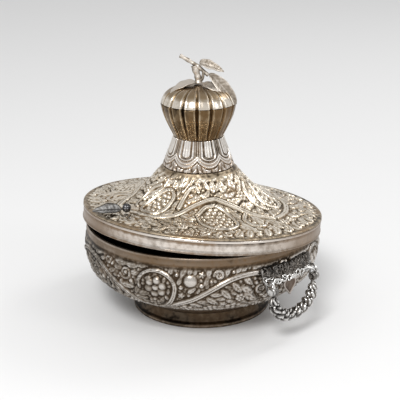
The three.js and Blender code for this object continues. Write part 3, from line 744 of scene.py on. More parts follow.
# How high and how deep each kind of motif is chased, on bowl and lid alike
chaseSettings = {
    "stemRise": 1.7, "stemGroove": 0.62,
    "curlWidth": 3.2, "curlRise": 1.6, "curlGroove": 0.55, "curlTaper": 0.35,
    "posyFrom": 3.0, "posyRise": 1.8, "flowerRise": 1.4,
    "beadMost": 1.9, "beadLeast": 0.35, "beadSlope": 0.62,
    "scrollTurns": 1.15, "scrollWidth": 1.9, "scrollRise": 1.3,
    "leafRise": 1.5, "leafVeins": 4, "leafGroove": 0.4,
    "scalePitch": 1.9, "scaleLong": 1.5, "scaleLean": 0.5, "scaleRise": 0.7,
}


# All the motifs of one chasing, laid on its relief. lengthAt turns a listed place into a length.
def chase(relief, chasing, lengthAt):
    depths = chaseSettings

    # Smooth run through listed places, in radians and lengths
    def placesOf(run, count):
        return [(math.radians(a), lengthAt(b)) for a, b in smoothPlaces(run, count)]

    relief.stem(placesOf(chasing["wave"], 70), chasing["stemWidth"], depths["stemRise"], depths["stemGroove"])
    for run in chasing["curls"]:
        relief.stem(placesOf(run, 40), depths["curlWidth"], depths["curlRise"], depths["curlGroove"],
                    depths["curlTaper"])
    for a, b, size, petals in chasing["flowers"]:
        if size > depths["posyFrom"]:
            relief.posy(math.radians(a), lengthAt(b), size, depths["posyRise"], petals)
        else:
            relief.flower(math.radians(a), lengthAt(b), size, depths["flowerRise"], petals)
    for a, b, size in chasing["beads"]:
        beadRise = min(depths["beadMost"], depths["beadLeast"] + depths["beadSlope"] * size)
        relief.bead(math.radians(a), lengthAt(b), size, beadRise)
    for a, b, size, start, hand in chasing["scrolls"]:
        relief.curl(math.radians(a), lengthAt(b), size, depths["scrollTurns"], start, depths["scrollWidth"],
                    depths["scrollRise"], hand)
    for a, b, turn, long, wide in chasing["leaves"]:
        relief.leaf(math.radians(a), lengthAt(b), turn, long, wide, depths["leafRise"], depths["leafVeins"],
                    depths["leafGroove"])
    low, high = lengthAt(chasing["low"]), lengthAt(chasing["high"])
    relief.fill(low, high, chasing["least"], chasing["bigger"], flowBy(chasing, lengthAt, relief.span))
    relief.scales(depths["scalePitch"], depths["scaleLong"], depths["scaleLean"], depths["scaleRise"],
                  low, high)
    relief.clearStems()


# Which way leaves lie at a place: along the waving stem, and leaning away from it on both sides. The slope
# is the stem's climb over a short step, at a usual radius of 70.
def flowBy(chasing, lengthAt, span):
    run = smoothPlaces(chasing["wave"], 200)
    angles, lengths = np.radians(run[:, 0]), lengthAt(run[:, 1])

    def flow(angle, length):
        at = angles[0] + (angle - angles[0]) % span
        here = np.interp(at, angles, lengths)
        slope = np.interp(at + 0.02, angles, lengths) - np.interp(at - 0.02, angles, lengths)
        along = math.degrees(math.atan2(slope, 0.04 * 70))
        return along + (chasing["lean"] if length > here else -chasing["lean"])

    return flow


# Outline of the bowl up to its plain band: shares of the way from base to belly, then in to the rim
def bowlOutline(count):
    reach = sizes["bellyRadius"] - sizes["bowlBase"]
    climb = sizes["bellyHeight"] - sizes["footHeight"]
    shares = [(0, 0), (0.33, 0.167), (0.6, 0.333), (0.85, 0.54), (0.95, 0.76), (1, 1)]
    knots = [(sizes["bowlBase"] + reach * a, sizes["footHeight"] + climb * b) for a, b in shares]
    return evenRun(splineRun(knots + [(sizes["rimRadius"], sizes["bandStart"])], 600), count)


# Plain band, rim and inside of the bowl, as (radius, height), with their tones
def bowlInside():
    rim, wall, top = sizes["rimRadius"], sizes["bowlWall"], sizes["rimHeight"]
    bottom = sizes["footHeight"] + wall
    band = [(rim - 0.25, top - 5.5), (rim + 0.05, top - 5.0), (rim + 0.1, top - 4.4), (rim - 0.25, top - 3.8),
            (rim - 0.2, top - 1.8), (rim, top - 0.8), (rim, top - 0.3), (rim - 0.3, top),
            (rim - wall, top - 0.1)]
    inner = bowlOutline(7)[::-1]
    inner = inner + normalsOf(inner) * wall
    inner = [tuple(place) for place in inner if place[1] > bottom + 0.6]
    outline = np.array(band + inner + [(sizes["bowlBase"] - 2, bottom), (4, bottom)])
    tone = np.full(len(outline), 0.34)
    tone[0] = 0.15      # groove below the band
    tone[2:4] = 0.5     # its bead
    tone[5:8] = 0.62    # rim
    return outline, tone


# Bowl: the outline pushed out along its normals by the relief, which fades out at both ends, and the inside
def makeBowl():
    chasing = bowlChasing
    outline = bowlOutline(chasing["rows"])
    relief = Relief(outline, chasing)
    lengths = relief.lengths[:, None]

    # Length up the outline at a height
    def lengthAt(height):
        return np.interp(height, outline[:, 1], relief.lengths)

    chase(relief, chasing, lengthAt)
    relief.raiseTo(0.6 * bell(lengths - lengthAt(chasing["border"]), 0.8) * np.ones_like(relief.height))
    angles, height = relief.tiled()
    fade = smoothStep(lengthAt(10), lengthAt(15), lengths)
    fade = fade * (1 - smoothStep(lengthAt(52.6), lengthAt(54.6), lengths))
    # Each repeat comes out a little different, as hand work does
    height = height * fade
    height = height * (1 + 0.12 * np.sin(angles * 3 + 1.3) * np.sin(angles * 7 + lengths * 0.11))
    base, lift, local = chasing["tone"]
    tone = toneOf(height, 1.6, 8, base, lift, local)
    # Painted shade: darker towards the foot, under the belly
    tone = tone * (0.55 + 0.45 * smoothStep(lengthAt(12), lengthAt(24), lengths))
    # Painted shade: the side to the left of the camera's view is darker
    tone = tone * (1 - 0.36 * smoothStep(-0.1, 0.85, np.cos(angles - math.radians(-138))))
    outer = turnedGrid(*pushedOut(outline, normalsOf(outline), height - chasing["sink"] * fade), angles)
    rest, restTone = bowlInside()
    floorGrid = turnedGrid(np.array([[4.0], [30.0]]), np.full((2, 1), sizes["footHeight"]), angles)
    grid = np.concatenate([floorGrid, outer, turnedGrid(rest[:, :1], rest[:, 1:], angles)])
    tone = np.concatenate([np.full(floorGrid.shape[:2], 0.3), tone,
                           np.repeat(restTone[:, None], len(angles), axis=1)])

    # Brown on the plain band, and painted shade in brown below the belly and on the side of the right handle
    def stainAndShadeAt(points):
        band = 0.75 * smoothStep(54.4, 56.0, points[:, 2])
        below = 0.5 * (1 - smoothStep(14, 24, points[:, 2]))
        return band + below + 0.4 * smoothStep(-0.3, 0.8, np.cos(azimuthOf(points)))

    makePiece("chasedBowl", [skinPatch(grid, tone)], "bowl", "bowl_silver", ["bowl_body"], stainAndShadeAt=stainAndShadeAt)


# Foot ring: the flare is a smooth run with a bead and a line pressed in, the tread is flat
footSettings = {
    "columns": 256, "inner": 40.6, "treadInner": 44.1,
    "flare": [(46.7, 1.3), (46.0, 2.6), (44.5, 4.2), (43.5, 6.4), (43.0, 9.0)],
    "beadHeight": 2.4, "beadRise": 0.3, "lineHeight": 3.6, "lineDepth": 0.35, "moulding": 0.5,
}


# Ring turned about +Z: tread, flare and the bare inside, its radius a little uneven as in hand work
def makeFoot():
    foot = footSettings
    flare = splineRun(foot["flare"], 24)
    flare[:, 0] += foot["beadRise"] * bell(flare[:, 1] - foot["beadHeight"], foot["moulding"])
    flare[:, 0] -= foot["lineDepth"] * bell(flare[:, 1] - foot["lineHeight"], foot["moulding"])
    flare[:, 0] = np.minimum(flare[:, 0], sizes["footRadius"])
    tread, out = foot["treadInner"], sizes["footRadius"]
    outline = np.array([(tread, 0.4), (tread + 0.3, 0.0), (out - 0.4, 0.0), (out, 0.4), *map(tuple, flare),
                        (foot["inner"], sizes["footHeight"]), (tread - 0.2, 1.5)])
    angles = roundAngles(foot["columns"])
    radius = outline[:, :1] + 0.05 * np.sin(angles * 9) * np.sin(angles * 4 + 1)
    tone = np.full((len(outline), foot["columns"]), 0.34)
    tone[3:8] = 0.62     # worn edge of the tread, up to the bead
    tone[9:12] = 0.12    # pressed line
    grid = turnedGrid(radius, outline[:, 1:], angles)
    makePiece("footRing", [skinPatch(grid, tone, wrapRows=True)], "bowl", "tarnished_silver", ["foot_ring"])


# Chasing on the lid, the same way. Places are (degrees round, radius). "leafRows" are the rows of leaves
# along the brim and round the foot of the neck: radius, how many in a repeat, their turn, length and width.
lidChasing = {
    "repeats": 3, "columns": 256, "rows": 104, "middle": -50.0, "sink": 0.9, "low": 77.6, "high": 24.6,
    "stemWidth": 3.2, "least": 1.0, "bigger": 1.3, "lean": 42.0, "tone": (0.34, 0.42, 0.9),
    "leafRows": [(71.6, 15, 58, 11.4, 6.0), (29.4, 8, 84, 9.4, 5.0)], "leafRowRise": 1.6,
    "wave": [(-110, 58.5), (-96, 58.3), (-82, 57), (-73, 55.6), (-65, 51), (-55, 43), (-45, 38.4),
             (-29, 35.6), (-17, 38.6), (-6, 44), (1, 51), (10, 58.5)],
    "paisleys": [[(-95, 46), (-91, 38.5), (-84, 33.2), (-76, 32.2), (-70.5, 35.6), (-72, 42), (-76, 49.4),
                  (-83, 52.8), (-91, 51.6)],
                 [(-46, 47), (-39.5, 41), (-31, 39.4), (-23.5, 42), (-20, 49), (-20.5, 58), (-27, 63.6),
                  (-35, 64.2), (-42, 58.6), (-44.6, 51)]],
    "curls": [[(-96, 31.0), (-104, 34.4), (-106.6, 41.4), (-103, 48.0), (-98.6, 49.6)],
              [(-62, 42.2), (-59.4, 35.4), (-54, 30.6), (-47.4, 29.2), (-43.4, 32.0)],
              [(-6.4, 47.6), (-12.0, 52.6), (-11.8, 60.2), (-5.4, 63.6), (-0.8, 60.4)]],
    "flowers": [(-54, 64.2, 3.6, 7), (-66.4, 61.4, 2.4, 5), (-3, 67.6, 3.4, 6), (-102.4, 64.8, 3.2, 6),
                (-60.6, 31.8, 2.4, 5), (-104, 41.4, 3.4, 6), (-88.4, 27.8, 2.4, 5)],
    "beads": [(-43, 70.4, 2.1), (-37.4, 72.6, 1.6), (-25, 74.2, 2.0), (-15, 73.8, 2.2), (-48.6, 72.4, 1.4),
              (-50, 54.6, 1.8), (-60, 55.4, 1.5), (-50.4, 30.6, 1.5), (-63.6, 37.8, 1.3),
              (-12.6, 44.2, 1.4), (-8.8, 58.2, 1.9), (-66.6, 43.4, 1.5), (-96.4, 63.6, 1.4),
              (-88.6, 62.4, 1.5), (-40.4, 33.4, 1.2), (-56.8, 48.4, 1.3), (-13.4, 66.0, 1.5),
              (1.6, 62.6, 1.2), (-20.8, 67.6, 1.3), (-47.6, 62.6, 1.5), (-71.6, 61.0, 1.3)],
    "scrolls": [(-31, 71.4, 3.2, 180, 1), (-58.4, 71.4, 2.8, 0, -1), (-72.0, 71.8, 3.0, 180, 1),
                (-87, 71.6, 3.0, 0, -1), (-103, 72.0, 3.0, 180, 1), (3.4, 73.6, 2.8, 180, 1)],
    "leaves": [(-64, 68.0, 10, 9.0, 4.6), (-77.4, 66.4, -10, 9.0, 4.8), (-81, 28.2, 40, 7.0, 3.4),
               (-94.8, 69.4, 10, 8.0, 4.0), (-19, 29.4, 60, 8.0, 3.8), (-26, 28.8, 85, 8.0, 3.8),
               (-11.6, 31.0, 35, 8.0, 3.8), (-33.4, 28.8, 110, 7.5, 3.6), (-5.8, 34.4, 15, 7.5, 3.6),
               (-69.0, 28.6, 110, 6.5, 3.2), (-57.6, 60.2, 35, 7.0, 3.4), (-43.0, 66.0, -30, 6.5, 3.2),
               (-99.0, 28.4, 60, 7.0, 3.2), (-52.6, 36.8, 60, 5.5, 3.0), (-13.8, 69.8, -20, 7.0, 3.4),
               (-84.0, 62.8, 5, 8.0, 3.6), (-1.0, 41.2, 30, 7.5, 3.6), (4.0, 47.0, 40, 7.5, 3.6),
               (-110, 52.6, 10, 7.0, 3.6), (-67.6, 33.4, 60, 6.0, 3.0)],
}


# Outline of the dome from brim to neck: shares of the way in and up, an ogee
def domeOutline(count):
    neck, bottom = sizes["neckBottom"], sizes["domeBottom"]
    reach = sizes["lidRadius"] - neck
    shares = [(0.96, 0.042), (0.67, 0.13), (0.42, 0.25), (0.27, 0.44), (0.12, 0.715), (0, 1)]
    knots = [(neck + reach * a, bottom + sizes["domeHeight"] * b) for a, b in shares]
    edge = np.array([(sizes["lidRadius"] - 0.6, bottom + 0.9)])
    return evenRun(np.concatenate([edge, splineRun(knots, 600)]), count)


# A paisley: a rim of double ridge round a domed field of beads. A point is inside where a line from it
# crosses the rim an odd number of times, and the beads stand on a staggered lattice, each a little astray.
def paisley(relief, outline, rise, pitch):
    closed = evenRun(splineRun(outline + outline[:1], 300), 60)
    relief.stem([tuple(place) for place in closed], 2.6, rise * 1.15, 0.6)
    middle = closed.mean(axis=0)
    x, y = relief.offsets(middle[0], middle[1])
    px, py = (closed[:, 0] - middle[0]) * relief.radiusAt(middle[1]), closed[:, 1] - middle[1]
    inside = np.zeros(x.shape, bool)
    far = np.full(x.shape, 99.0)
    for i in range(len(px) - 1):
        crosses = (py[i] > y) != (py[i + 1] > y)
        with np.errstate(divide="ignore", invalid="ignore"):
            at = px[i] + (y - py[i]) * (px[i + 1] - px[i]) / (py[i + 1] - py[i])
        inside ^= crosses & (x < at)
        far = np.minimum(far, np.hypot(x - px[i], y - py[i]))
    row = np.round(y / (pitch * 0.87))
    stagger = (row % 2) * pitch / 2
    column = np.round((x - stagger) / pitch)
    chance = np.sin(row * 12.9 + column * 78.2) * 4375.5
    chance = chance - np.floor(chance)
    gap = np.hypot(x - (column + 0.24 * (chance - 0.5)) * pitch - stagger,
                   y - (row + 0.3 * (chance * 7 % 1 - 0.5)) * pitch * 0.87)
    bead = domed(gap / ((0.36 + 0.12 * chance) * pitch))
    field = rise * (0.12 + 0.3 * smoothStep(0.5, 5.0, far)) + 0.95 * bead * smoothStep(1.2, 2.0, far)
    relief.raiseTo(np.where(inside & (far > 1.4), field, 0))


# Dome: the ogee pushed out along its normals by the relief, and the same ogee a wall further in
def makeDome():
    chasing = lidChasing
    outline = domeOutline(chasing["rows"])
    relief = Relief(outline, chasing)

    # Length in along the outline at a radius
    def lengthAt(radius):
        return np.interp(-radius, -outline[:, 0], relief.lengths)

    for run in chasing["paisleys"]:
        paisley(relief, [(math.radians(a), float(lengthAt(b))) for a, b in run], 1.5, 4.0)
    # In a row each leaf stands, slants and turns a little otherwise than the one before
    for reach, count, turn, long, wide in chasing["leafRows"]:
        for k in range(count):
            angle = relief.angles[0] + (k + 0.5 + 0.16 * math.sin(k * 2.7)) / count * relief.span
            length = lengthAt(reach) + 0.4 * math.sin(k * 1.9)
            relief.leaf(angle, length, turn + 9 * math.sin(k * 3.7), long, wide, chasing["leafRowRise"], 4)
    chase(relief, chasing, lengthAt)
    angles, height = relief.tiled()
    lengths = relief.lengths[:, None]
    fade = smoothStep(lengthAt(78.6), lengthAt(76.4), lengths)
    fade = fade * (1 - smoothStep(lengthAt(26.5), lengthAt(24.4), lengths))
    height = height * fade * (1 + 0.12 * np.sin(angles * 2 + 0.7) * np.sin(angles * 5 + lengths * 0.13))
    base, lift, local = chasing["tone"]
    tone = toneOf(height, 1.6, 8, base, lift, local)
    normals = -normalsOf(outline)
    normals = normals * np.sign(normals[len(normals) // 2, 1])
    outer = onDome(*pushedOut(outline, normals, height - chasing["sink"] * fade), angles,
                   crownShare(outline[:, :1]))
    inner = domeOutline(14)[::-1]
    inward = normalsOf(inner)
    inner = inner - inward * np.sign(inward[len(inward) // 2, 1]) * sizes["lidWall"]
    inner[:, 1] = np.maximum(inner[:, 1], sizes["domeBottom"])
    out, bottom = sizes["lidRadius"], sizes["domeBottom"]
    rest = np.concatenate([inner[:-1], [(out - 1.1, bottom), (out - 0.1, bottom), (out - 0.1, bottom + 0.4)]])
    restGrid = onDome(rest[:, :1], rest[:, 1:], angles, crownShare(rest[:, :1]))
    grid = toLid(np.concatenate([outer, restGrid]))
    tone = np.concatenate([tone, np.full(restGrid.shape[:2], 0.4)])
    makePiece("chasedDome", [skinPatch(grid, tone, wrapRows=True)], "lid", "lid_silver", ["lid_dome"])


# Rim band of the lid: nearly flat, with a rounded bead along its top and a thin lip below
bandSettings = {"columns": 640, "viewAzimuth": -43.0, "shadeAside": 0.32, "stainAndShade": 0.9}


# Band turned about the lid's axis from one outline, less the dents
def makeRimBand():
    band = bandSettings
    inside, out, top = sizes["bandInside"], sizes["lidRadius"], sizes["bandHeight"]
    outline = np.array([(inside, 0.3), (inside + 0.3, 0.0), (out - 0.25, 0.0), (out - 0.02, 0.25), (out, 0.7),
                        (out - 0.1, 1.1), (out - 0.3, 1.5), (out - 0.34, 3.2), (out - 0.3, 5.4),
                        (out - 0.34, top - 2.0), (out - 0.36, top - 1.7), (out - 0.12, top - 1.4),
                        (out, top - 1.0), (out, top - 0.6), (out - 0.12, top - 0.2), (out - 0.4, top),
                        (inside, top), (inside, top / 2)])
    angles = roundAngles(band["columns"])
    # Dents of a tenth of a millimetre at most, on the flat middle alone
    dents = 0.05 * np.sin(angles * 13 + 2 * np.sin(angles * 5)) + 0.04 * np.sin(angles * 31 + outline[:, 1:])
    flat = (outline[:, 1:] > 1.4) & (outline[:, 1:] < top - 1.9) & (outline[:, :1] > out - 0.5)
    radius = outline[:, :1] - np.abs(dents) * flat
    tone = np.full((len(outline), band["columns"]), 0.72)
    tone[2:6] = 0.5       # lip
    tone[9:11] = 0.25     # groove under the bead
    tone[11:15] = 0.98    # bead
    # Painted shade: both ends of the band, as the camera sees it, are darker than its middle
    view = math.radians(-band["viewAzimuth"])
    tone = tone * (1 - band["shadeAside"] * smoothStep(0.45, 1.0, np.abs(np.sin(angles + view))))
    grid = toLid(turnedGrid(radius, outline[:, 1:], angles))

    # Painted shade in brown at the same two ends
    def stainAndShadeAt(points):
        return band["stainAndShade"] * smoothStep(0.3, 0.95, np.abs(np.sin(azimuthOf(points) + view)))

    makePiece("rimBand", [skinPatch(grid, tone, wrapRows=True)], "lid", "polished_silver", ["lid_rim_band"],
              stainAndShadeAt=stainAndShadeAt)


# Neck: eight tongues with ribbed ovals in them, reeds between, and a scalloped double moulding that hangs
# below them. Heights are shares of the neck's own, widths are shares of one tongue's.
neckChasing = {
    "tongues": 8, "columns": 640, "rows": 80, "half": 0.35, "bottom": 0.37, "depth": 0.16, "relief": 1.05,
    "sink": 0.35, "ovalHalf": 0.19, "ovalDepth": 0.13, "reedWidth": 0.1, "drop": 0.045, "rise": 0.24,
    "petals": 3, "petalHeight": 0.17,
}


# Height of the neck's ornament from the place across a tongue (from -0.5 to 0.5) and the share of the height
def neckRelief(across, share, angles):
    chasing = neckChasing
    half, deep = chasing["half"], chasing["depth"]
    top = chasing["bottom"] + deep
    # How far a point lies from the tongue's edge, in shares of its half width: above nought is outside
    far = np.sqrt((across / half) ** 2 + (np.clip(top - share, 0, None) / deep) ** 2) - 1
    height = 0.95 * bell(far + 0.14, 0.14)
    oval = across / chasing["ovalHalf"]
    inner = np.sqrt(oval ** 2 + (np.clip(top + 0.06 - share, 0, None) / chasing["ovalDepth"]) ** 2)
    height = height + 0.85 * smoothStep(1.1, 0.8, inner) * (0.8 + 0.2 * np.cos(oval * math.pi * 3))
    # Scallop line: low under each tongue, and up to a cusp between two of them
    line = chasing["bottom"] - chasing["drop"] + chasing["rise"] * np.abs(2 * across) ** 2.0
    reeds = (far > 0.08) * smoothStep(line, line + 0.03, share)
    reed = 0.5 + 0.5 * np.cos((np.abs(across) - 0.5) / chasing["reedWidth"] * 2 * math.pi)
    height = height + 0.36 * reeds * reed
    height = height + 0.9 * bell(share - line + 0.045, 0.040) + 0.9 * bell(share - line + 0.150, 0.050)
    # Under the moulding the lid's own small leaves begin, in rows that are staggered and a little uneven
    step = (line - 0.24 - share) / chasing["petalHeight"]
    even = across * chasing["petals"] + 0.5 * (np.floor(step) % 2)
    petal = domed(2.15 * ((even + 0.12 * np.sin(angles * 5 + step)) % 1.0 - 0.5)) * (1 - 0.5 * (step % 1.0))
    petal = petal * (1 - 0.4 * bell(even % 1.0 - 0.5, 0.07))
    height = height + 0.95 * petal * smoothStep(line - 0.22, line - 0.25, share)
    return np.clip(height, 0, 1.05), line


# Neck sleeve: its outline pushed out by the ornament, half as much up and down as in and out
def makeNeck():
    chasing = neckChasing
    bottom, waist, top = sizes["neckBottom"], sizes["neckWaist"], sizes["neckTop"]
    tall = sizes["neckHeight"] + sizes["cupRaise"]
    knots = [(bottom - 0.4, 0), (22.6, tall * 0.12), (waist, tall * 0.33), (18.9, tall * 0.62),
             (17.3, tall * 0.84), (top + 0.4, tall)]
    outline = evenRun(splineRun(knots, 400), chasing["rows"])
    angles = roundAngles(chasing["columns"])
    across = (angles * chasing["tongues"] / (2 * math.pi)) % 1.0 - 0.5
    share = outline[:, 1:] / tall
    height, line = neckRelief(across, share, angles)
    relief = chasing["relief"] * height - chasing["sink"]
    outer = turnedGrid(*pushedOut(outline, normalsOf(outline) * [1.0, 0.5], relief), angles)
    outer[..., 2] = np.maximum(outer[..., 2], -0.2)
    tone = toneOf(height, 0.9, 5, 0.13, 0.9, 0.5)
    tone = tone * (1 - 0.1 * smoothStep(line - 0.16, line - 0.26, share))
    inside = np.array([(top - 0.9, tall - 0.1), (waist - 1.2, tall * 0.46), (bottom - 2.2, 0.1)])
    grid = np.concatenate([outer, turnedGrid(inside[:, :1], inside[:, 1:], angles)]) + crownPlace
    tone = np.concatenate([tone, np.full((3, len(angles)), 0.4)])

    # Brown below the moulding
    def stainAndShadeAt(points):
        return 0.45 * (1 - smoothStep(4.5, 9.5, points[:, 2] - crownPlace[2]))

    makePiece("neckSleeve", [skinPatch(grid, tone, wrapRows=True)], "lid", "neck_silver", ["lid_neck"],
              "polished_silver", stainAndShadeAt)


# Fluted knob: nearly flat panels with a narrow groove and a thin bright edge between them
knobFluting = {"flutes": 16, "columns": 768, "depth": 0.05, "groove": 0.085, "edge": 0.010, "bow": 0.012,
               "edgeTone": 0.35, "grooveTone": 0.55}


# Grid and tones of a fluted stretch. The radius at an angle is the outline's, less a bell at each groove,
# less a little away from the edges, and a panel bows out a little at its middle.
def flutedGrid(outline, strength, tone):
    fluting = knobFluting
    wide = fluting["groove"]
    angles = roundAngles(fluting["columns"])
    strength = np.asarray(strength)[:, None]
    t = np.abs((angles[None, :] * fluting["flutes"] / (2 * math.pi) + 0.5) % 1.0 - 0.5)
    groove = bell(t, wide)
    edge = bell(t - 2.1 * wide, 0.7 * wide)
    panel = 1 - fluting["bow"] * (1 - np.sin(math.pi * t))
    factor = panel * (1 - strength * fluting["depth"] * groove) - fluting["edge"] * (1 - edge) * strength
    grid = turnedGrid(outline[:, :1] * factor, outline[:, 1:], angles)
    tones = np.asarray(tone)[:, None] + fluting["edgeTone"] * edge - fluting["grooveTone"] * groove
    return grid + crownPlace, tones


# Knob: a cup that flares from the neck, and a cap domed over it. The flutes die out at foot and crown.
def makeKnob():
    foot, out, tall = sizes["knobFoot"], sizes["knobRadius"], sizes["cupHeight"] - sizes["cupRaise"]
    flare = out - foot
    bottom = sizes["neckHeight"] + sizes["crownGap"] + sizes["cupRaise"]
    knots = [(foot, 0), (foot + flare * 0.42, tall * 0.31), (foot + flare * 0.8, tall * 0.65),
             (out, tall - 0.5)]
    lip = [(out - 0.25, tall - 0.1), (out - 1.0, tall)]
    cup = np.concatenate([[(foot - 3, 0)], splineRun(knots, 40), lip])
    cup[:, 1] += bottom
    level = (cup[:, 1] - bottom) / tall
    # Painted shade: the cup's tone falls towards its flared top, just under the cap
    grid, tones = flutedGrid(cup, smoothStep(0.02, 0.2, level), 0.52 - 0.24 * smoothStep(0.55, 0.92, level))
    base, high = bottom + tall, sizes["capHeight"]

    # Painted shade: the cup's right side, as the camera sees it, is browner, and so is the top of the cap
    def cupSideShade(points):
        return 0.8 * smoothStep(0.3, 0.95, np.cos(azimuthOf(points, crownPlace) - 0.35))

    def capTopShade(points):
        return 0.8 * smoothStep(0.32, 0.62, (points[:, 2] - crownPlace[2] - base) / high)

    makePiece("knobCup", [skinPatch(grid, tones)], "lid", "gilt_tarnish", ["knob_cup"], stainAndShadeAt=cupSideShade)
    knots = [(out - 0.1, 0.5), (24.1, 2.4), (22.3, 5.6), (18.6, 8.6), (11.5, 10.9), (3.0, 11.8), (0.4, 11.9)]
    cap = np.concatenate([[(out - 4, 0), (out - 0.8, 0.05)], splineRun(knots, 40)])
    level = np.clip(cap[:, 1] / high, 0, 1)
    cap[:, 1] += base
    # Painted highlight low on the cap and painted shade above it: the tone falls from the lower edge to the
    # top
    tone = 0.76 - 0.34 * smoothStep(0.30, 0.62, level)
    grid, tones = flutedGrid(cap, 1 - smoothStep(0.75, 1.0, level), tone)
    makePiece("knobCap", [skinPatch(grid, tones)], "lid", "cap_silver", ["knob_cap"], "polished_silver",
              capTopShade)


# Round bar along a smooth run of places, its radius given at each of its rings. Painted light: the side
# that faces +X is lighter, and the side away from it is painted in shade.
def barPatch(run, radii, sides, tone):
    run = np.asarray(run, float)
    radii = np.broadcast_to(np.asarray(radii, float), (len(run),))
    along = np.gradient(run, axis=0)
    along /= np.linalg.norm(along, axis=1)[:, None]
    side = np.cross(along, [0.31, 0.17, 0.94])
    side /= np.linalg.norm(side, axis=1)[:, None]
    over = np.cross(side, along)
    angles = roundAngles(sides)[None, :, None]
    grid = run[:, None, :] + radii[:, None, None] * (np.cos(angles) * side[:, None, :]
                                                     + np.sin(angles) * over[:, None, :])
    lightFacing = (grid - run[:, None, :])[..., 0] / radii[:, None]
    return skinPatch(grid, np.reshape(tone, (-1, 1)) * (0.62 + 0.38 * lightFacing))


# Ball from rings of sides and rows, with its poles up and down
def ballPatch(place, radius, sides, rows, tone):
    up = np.linspace(-math.pi / 2, math.pi / 2, rows + 2)[1:-1, None]
    grid = turnedGrid(np.cos(up), np.sin(up), roundAngles(sides))
    return skinPatch(grid * radius + np.array(place), tone)


# Branch on the knob: a bent stem, a knotty twig across it and a strut between them
branchSettings = {
    "twig": [(6.5, -5), (0, 0.5), (-5.4, 4.0), (-12, 7.7)], "twigAzimuth": 42.0, "twigRadius": 1.2,
    "twigKnots": [(0.36, 0.07, 0.35), (0.95, 0.04, 0.2), (0.72, 0.04, 0.2)], "twigEnd": 0.6,
    "stemRadius": 1.9, "stemFoot": 0.9, "stemSwell": 0.5,
}


# Returns the height of the twig above the crown's foot, from which the leaves are placed
def makeBranch():
    branch = branchSettings
    roof = sizes["neckHeight"] + 2 * sizes["crownGap"] + sizes["cupHeight"] + sizes["capHeight"] - 0.2
    twig = roof + sizes["stemHeight"]
    middle = roof + sizes["stemHeight"] / 2
    stem = splineRun([(0, 0, roof + 0.3), (-0.5, -0.3, middle), (-1.9, -1.7, twig + 1.2)], 30)
    t = np.linspace(0, 1, 30)
    stemRadii = branch["stemRadius"] + branch["stemFoot"] * bell(t, 0.2) + 0.2 * np.sin(t * 19)
    stemRadii = stemRadii + branch["stemSwell"] * t
    turn = math.radians(branch["twigAzimuth"])
    along = splineRun(branch["twig"], 60)
    run = np.column_stack([along[:, 0] * math.cos(turn), along[:, 0] * math.sin(turn), along[:, 1] + twig])
    t = np.linspace(0, 1, 60)
    radii = branch["twigRadius"] + 0.07 * np.sin(t * 27)
    for at, width, rise in branch["twigKnots"]:
        radii = radii + rise * bell(t - at, width)
    radii[-1] *= branch["twigEnd"]
    strut = splineRun([(0.3, 0.2, roof + 2.0), (2.2, 1.5, roof + 3.2), (2.8, 2.0, twig - 1.8)], 16)
    # Painted highlight: the twig's tone rises towards its far end
    bars = [barPatch(stem, stemRadii, 20, 1.0),
            barPatch(run, radii, 20, 0.7 + 0.25 * np.sin(t * 23) + 0.2 * t),
            barPatch(strut, np.linspace(1.3, 0.8, 16), 14, 0.7)]
    patches = [(points + crownPlace, faces, tone) for points, faces, tone in bars]
    makePiece("branch", patches, "lid", "leaf_silver", ["finial_branch"], "cast_silver")
    return twig


# Leaf: a blade with a groove and slanting veins, folded along its rib, drooping, one edge curled. Its half
# width is a sine of the way along, to a power that makes it blunt, and s and v run along and across it.
def leafPatch(shape, thickness):
    rows, halfColumns = 44, 17
    s = np.linspace(0, 1, rows)[:, None]
    v = np.linspace(-1, 1, halfColumns)[None, :]
    half = shape["width"] / 2 * np.maximum(np.sin(math.pi * s ** shape["belly"]) ** shape["blunt"], 0.12)
    rib = bell(v, 0.09)
    veins = np.cos(2 * math.pi * (s * 8 - np.abs(v) * 1.3)) * (1 - rib) * (1 - np.abs(v) ** 4)
    wave = 0.2 * np.sin(s * 16 + np.sign(v) * 0.9) * np.abs(v) ** 3
    curl = np.clip(-np.sign(shape["curl"]) * v, 0, 1) ** 3 * np.sin(math.pi * s) ** 0.5
    lift = shape["fold"] * half * np.abs(v) ** 1.5 + wave + abs(shape["curl"]) * curl
    drop = -shape["droop"] * s * s
    x = np.repeat(shape["length"] * s, halfColumns, axis=1) - 0.5 * np.abs(v) * half * 0.2
    under = np.stack([x, v * half, lift + drop + 0 * v], axis=-1)
    height = 0.035 * veins + 0.12 * rib - 0.1
    thick = thickness * (1 - 0.55 * np.abs(v) ** 3)
    over = np.stack([x, v * half, lift + drop + thick + height], axis=-1)
    rough = np.sin(s * 57 + v * 9) * np.sin(s * 31 - v * 17)
    tone = 0.54 + 0.08 * veins + shape["ribTone"] * rib + shape["edgeTone"] * np.abs(v) ** 6
    tone = np.clip(tone + 0.25 * curl + 0.09 * rough, 0, 1)
    grid = np.concatenate([under, over[:, ::-1]], axis=1)
    tone = np.concatenate([np.full(under.shape[:2], 0.4), tone[:, ::-1]], axis=1)
    points, faces, tone = skinPatch(grid, tone)
    # The tone is lifted by the leaf's painted light
    return points, faces, np.clip(tone + shape["paintedLight"], 0, 1)


# Turn of a leaf that lies along +X: rolled about itself, then dipped, then swung round to its azimuth
def turnOf(roll, dip, azimuth):
    about = {"x": (1, 0, 0), "y": (0, 1, 0), "z": (0, 0, 1)}
    swing, down, over = (aboutAxis(about[axis], math.radians(angle))
                         for axis, angle in (("z", azimuth), ("y", dip), ("x", roll)))
    return swing @ down @ over
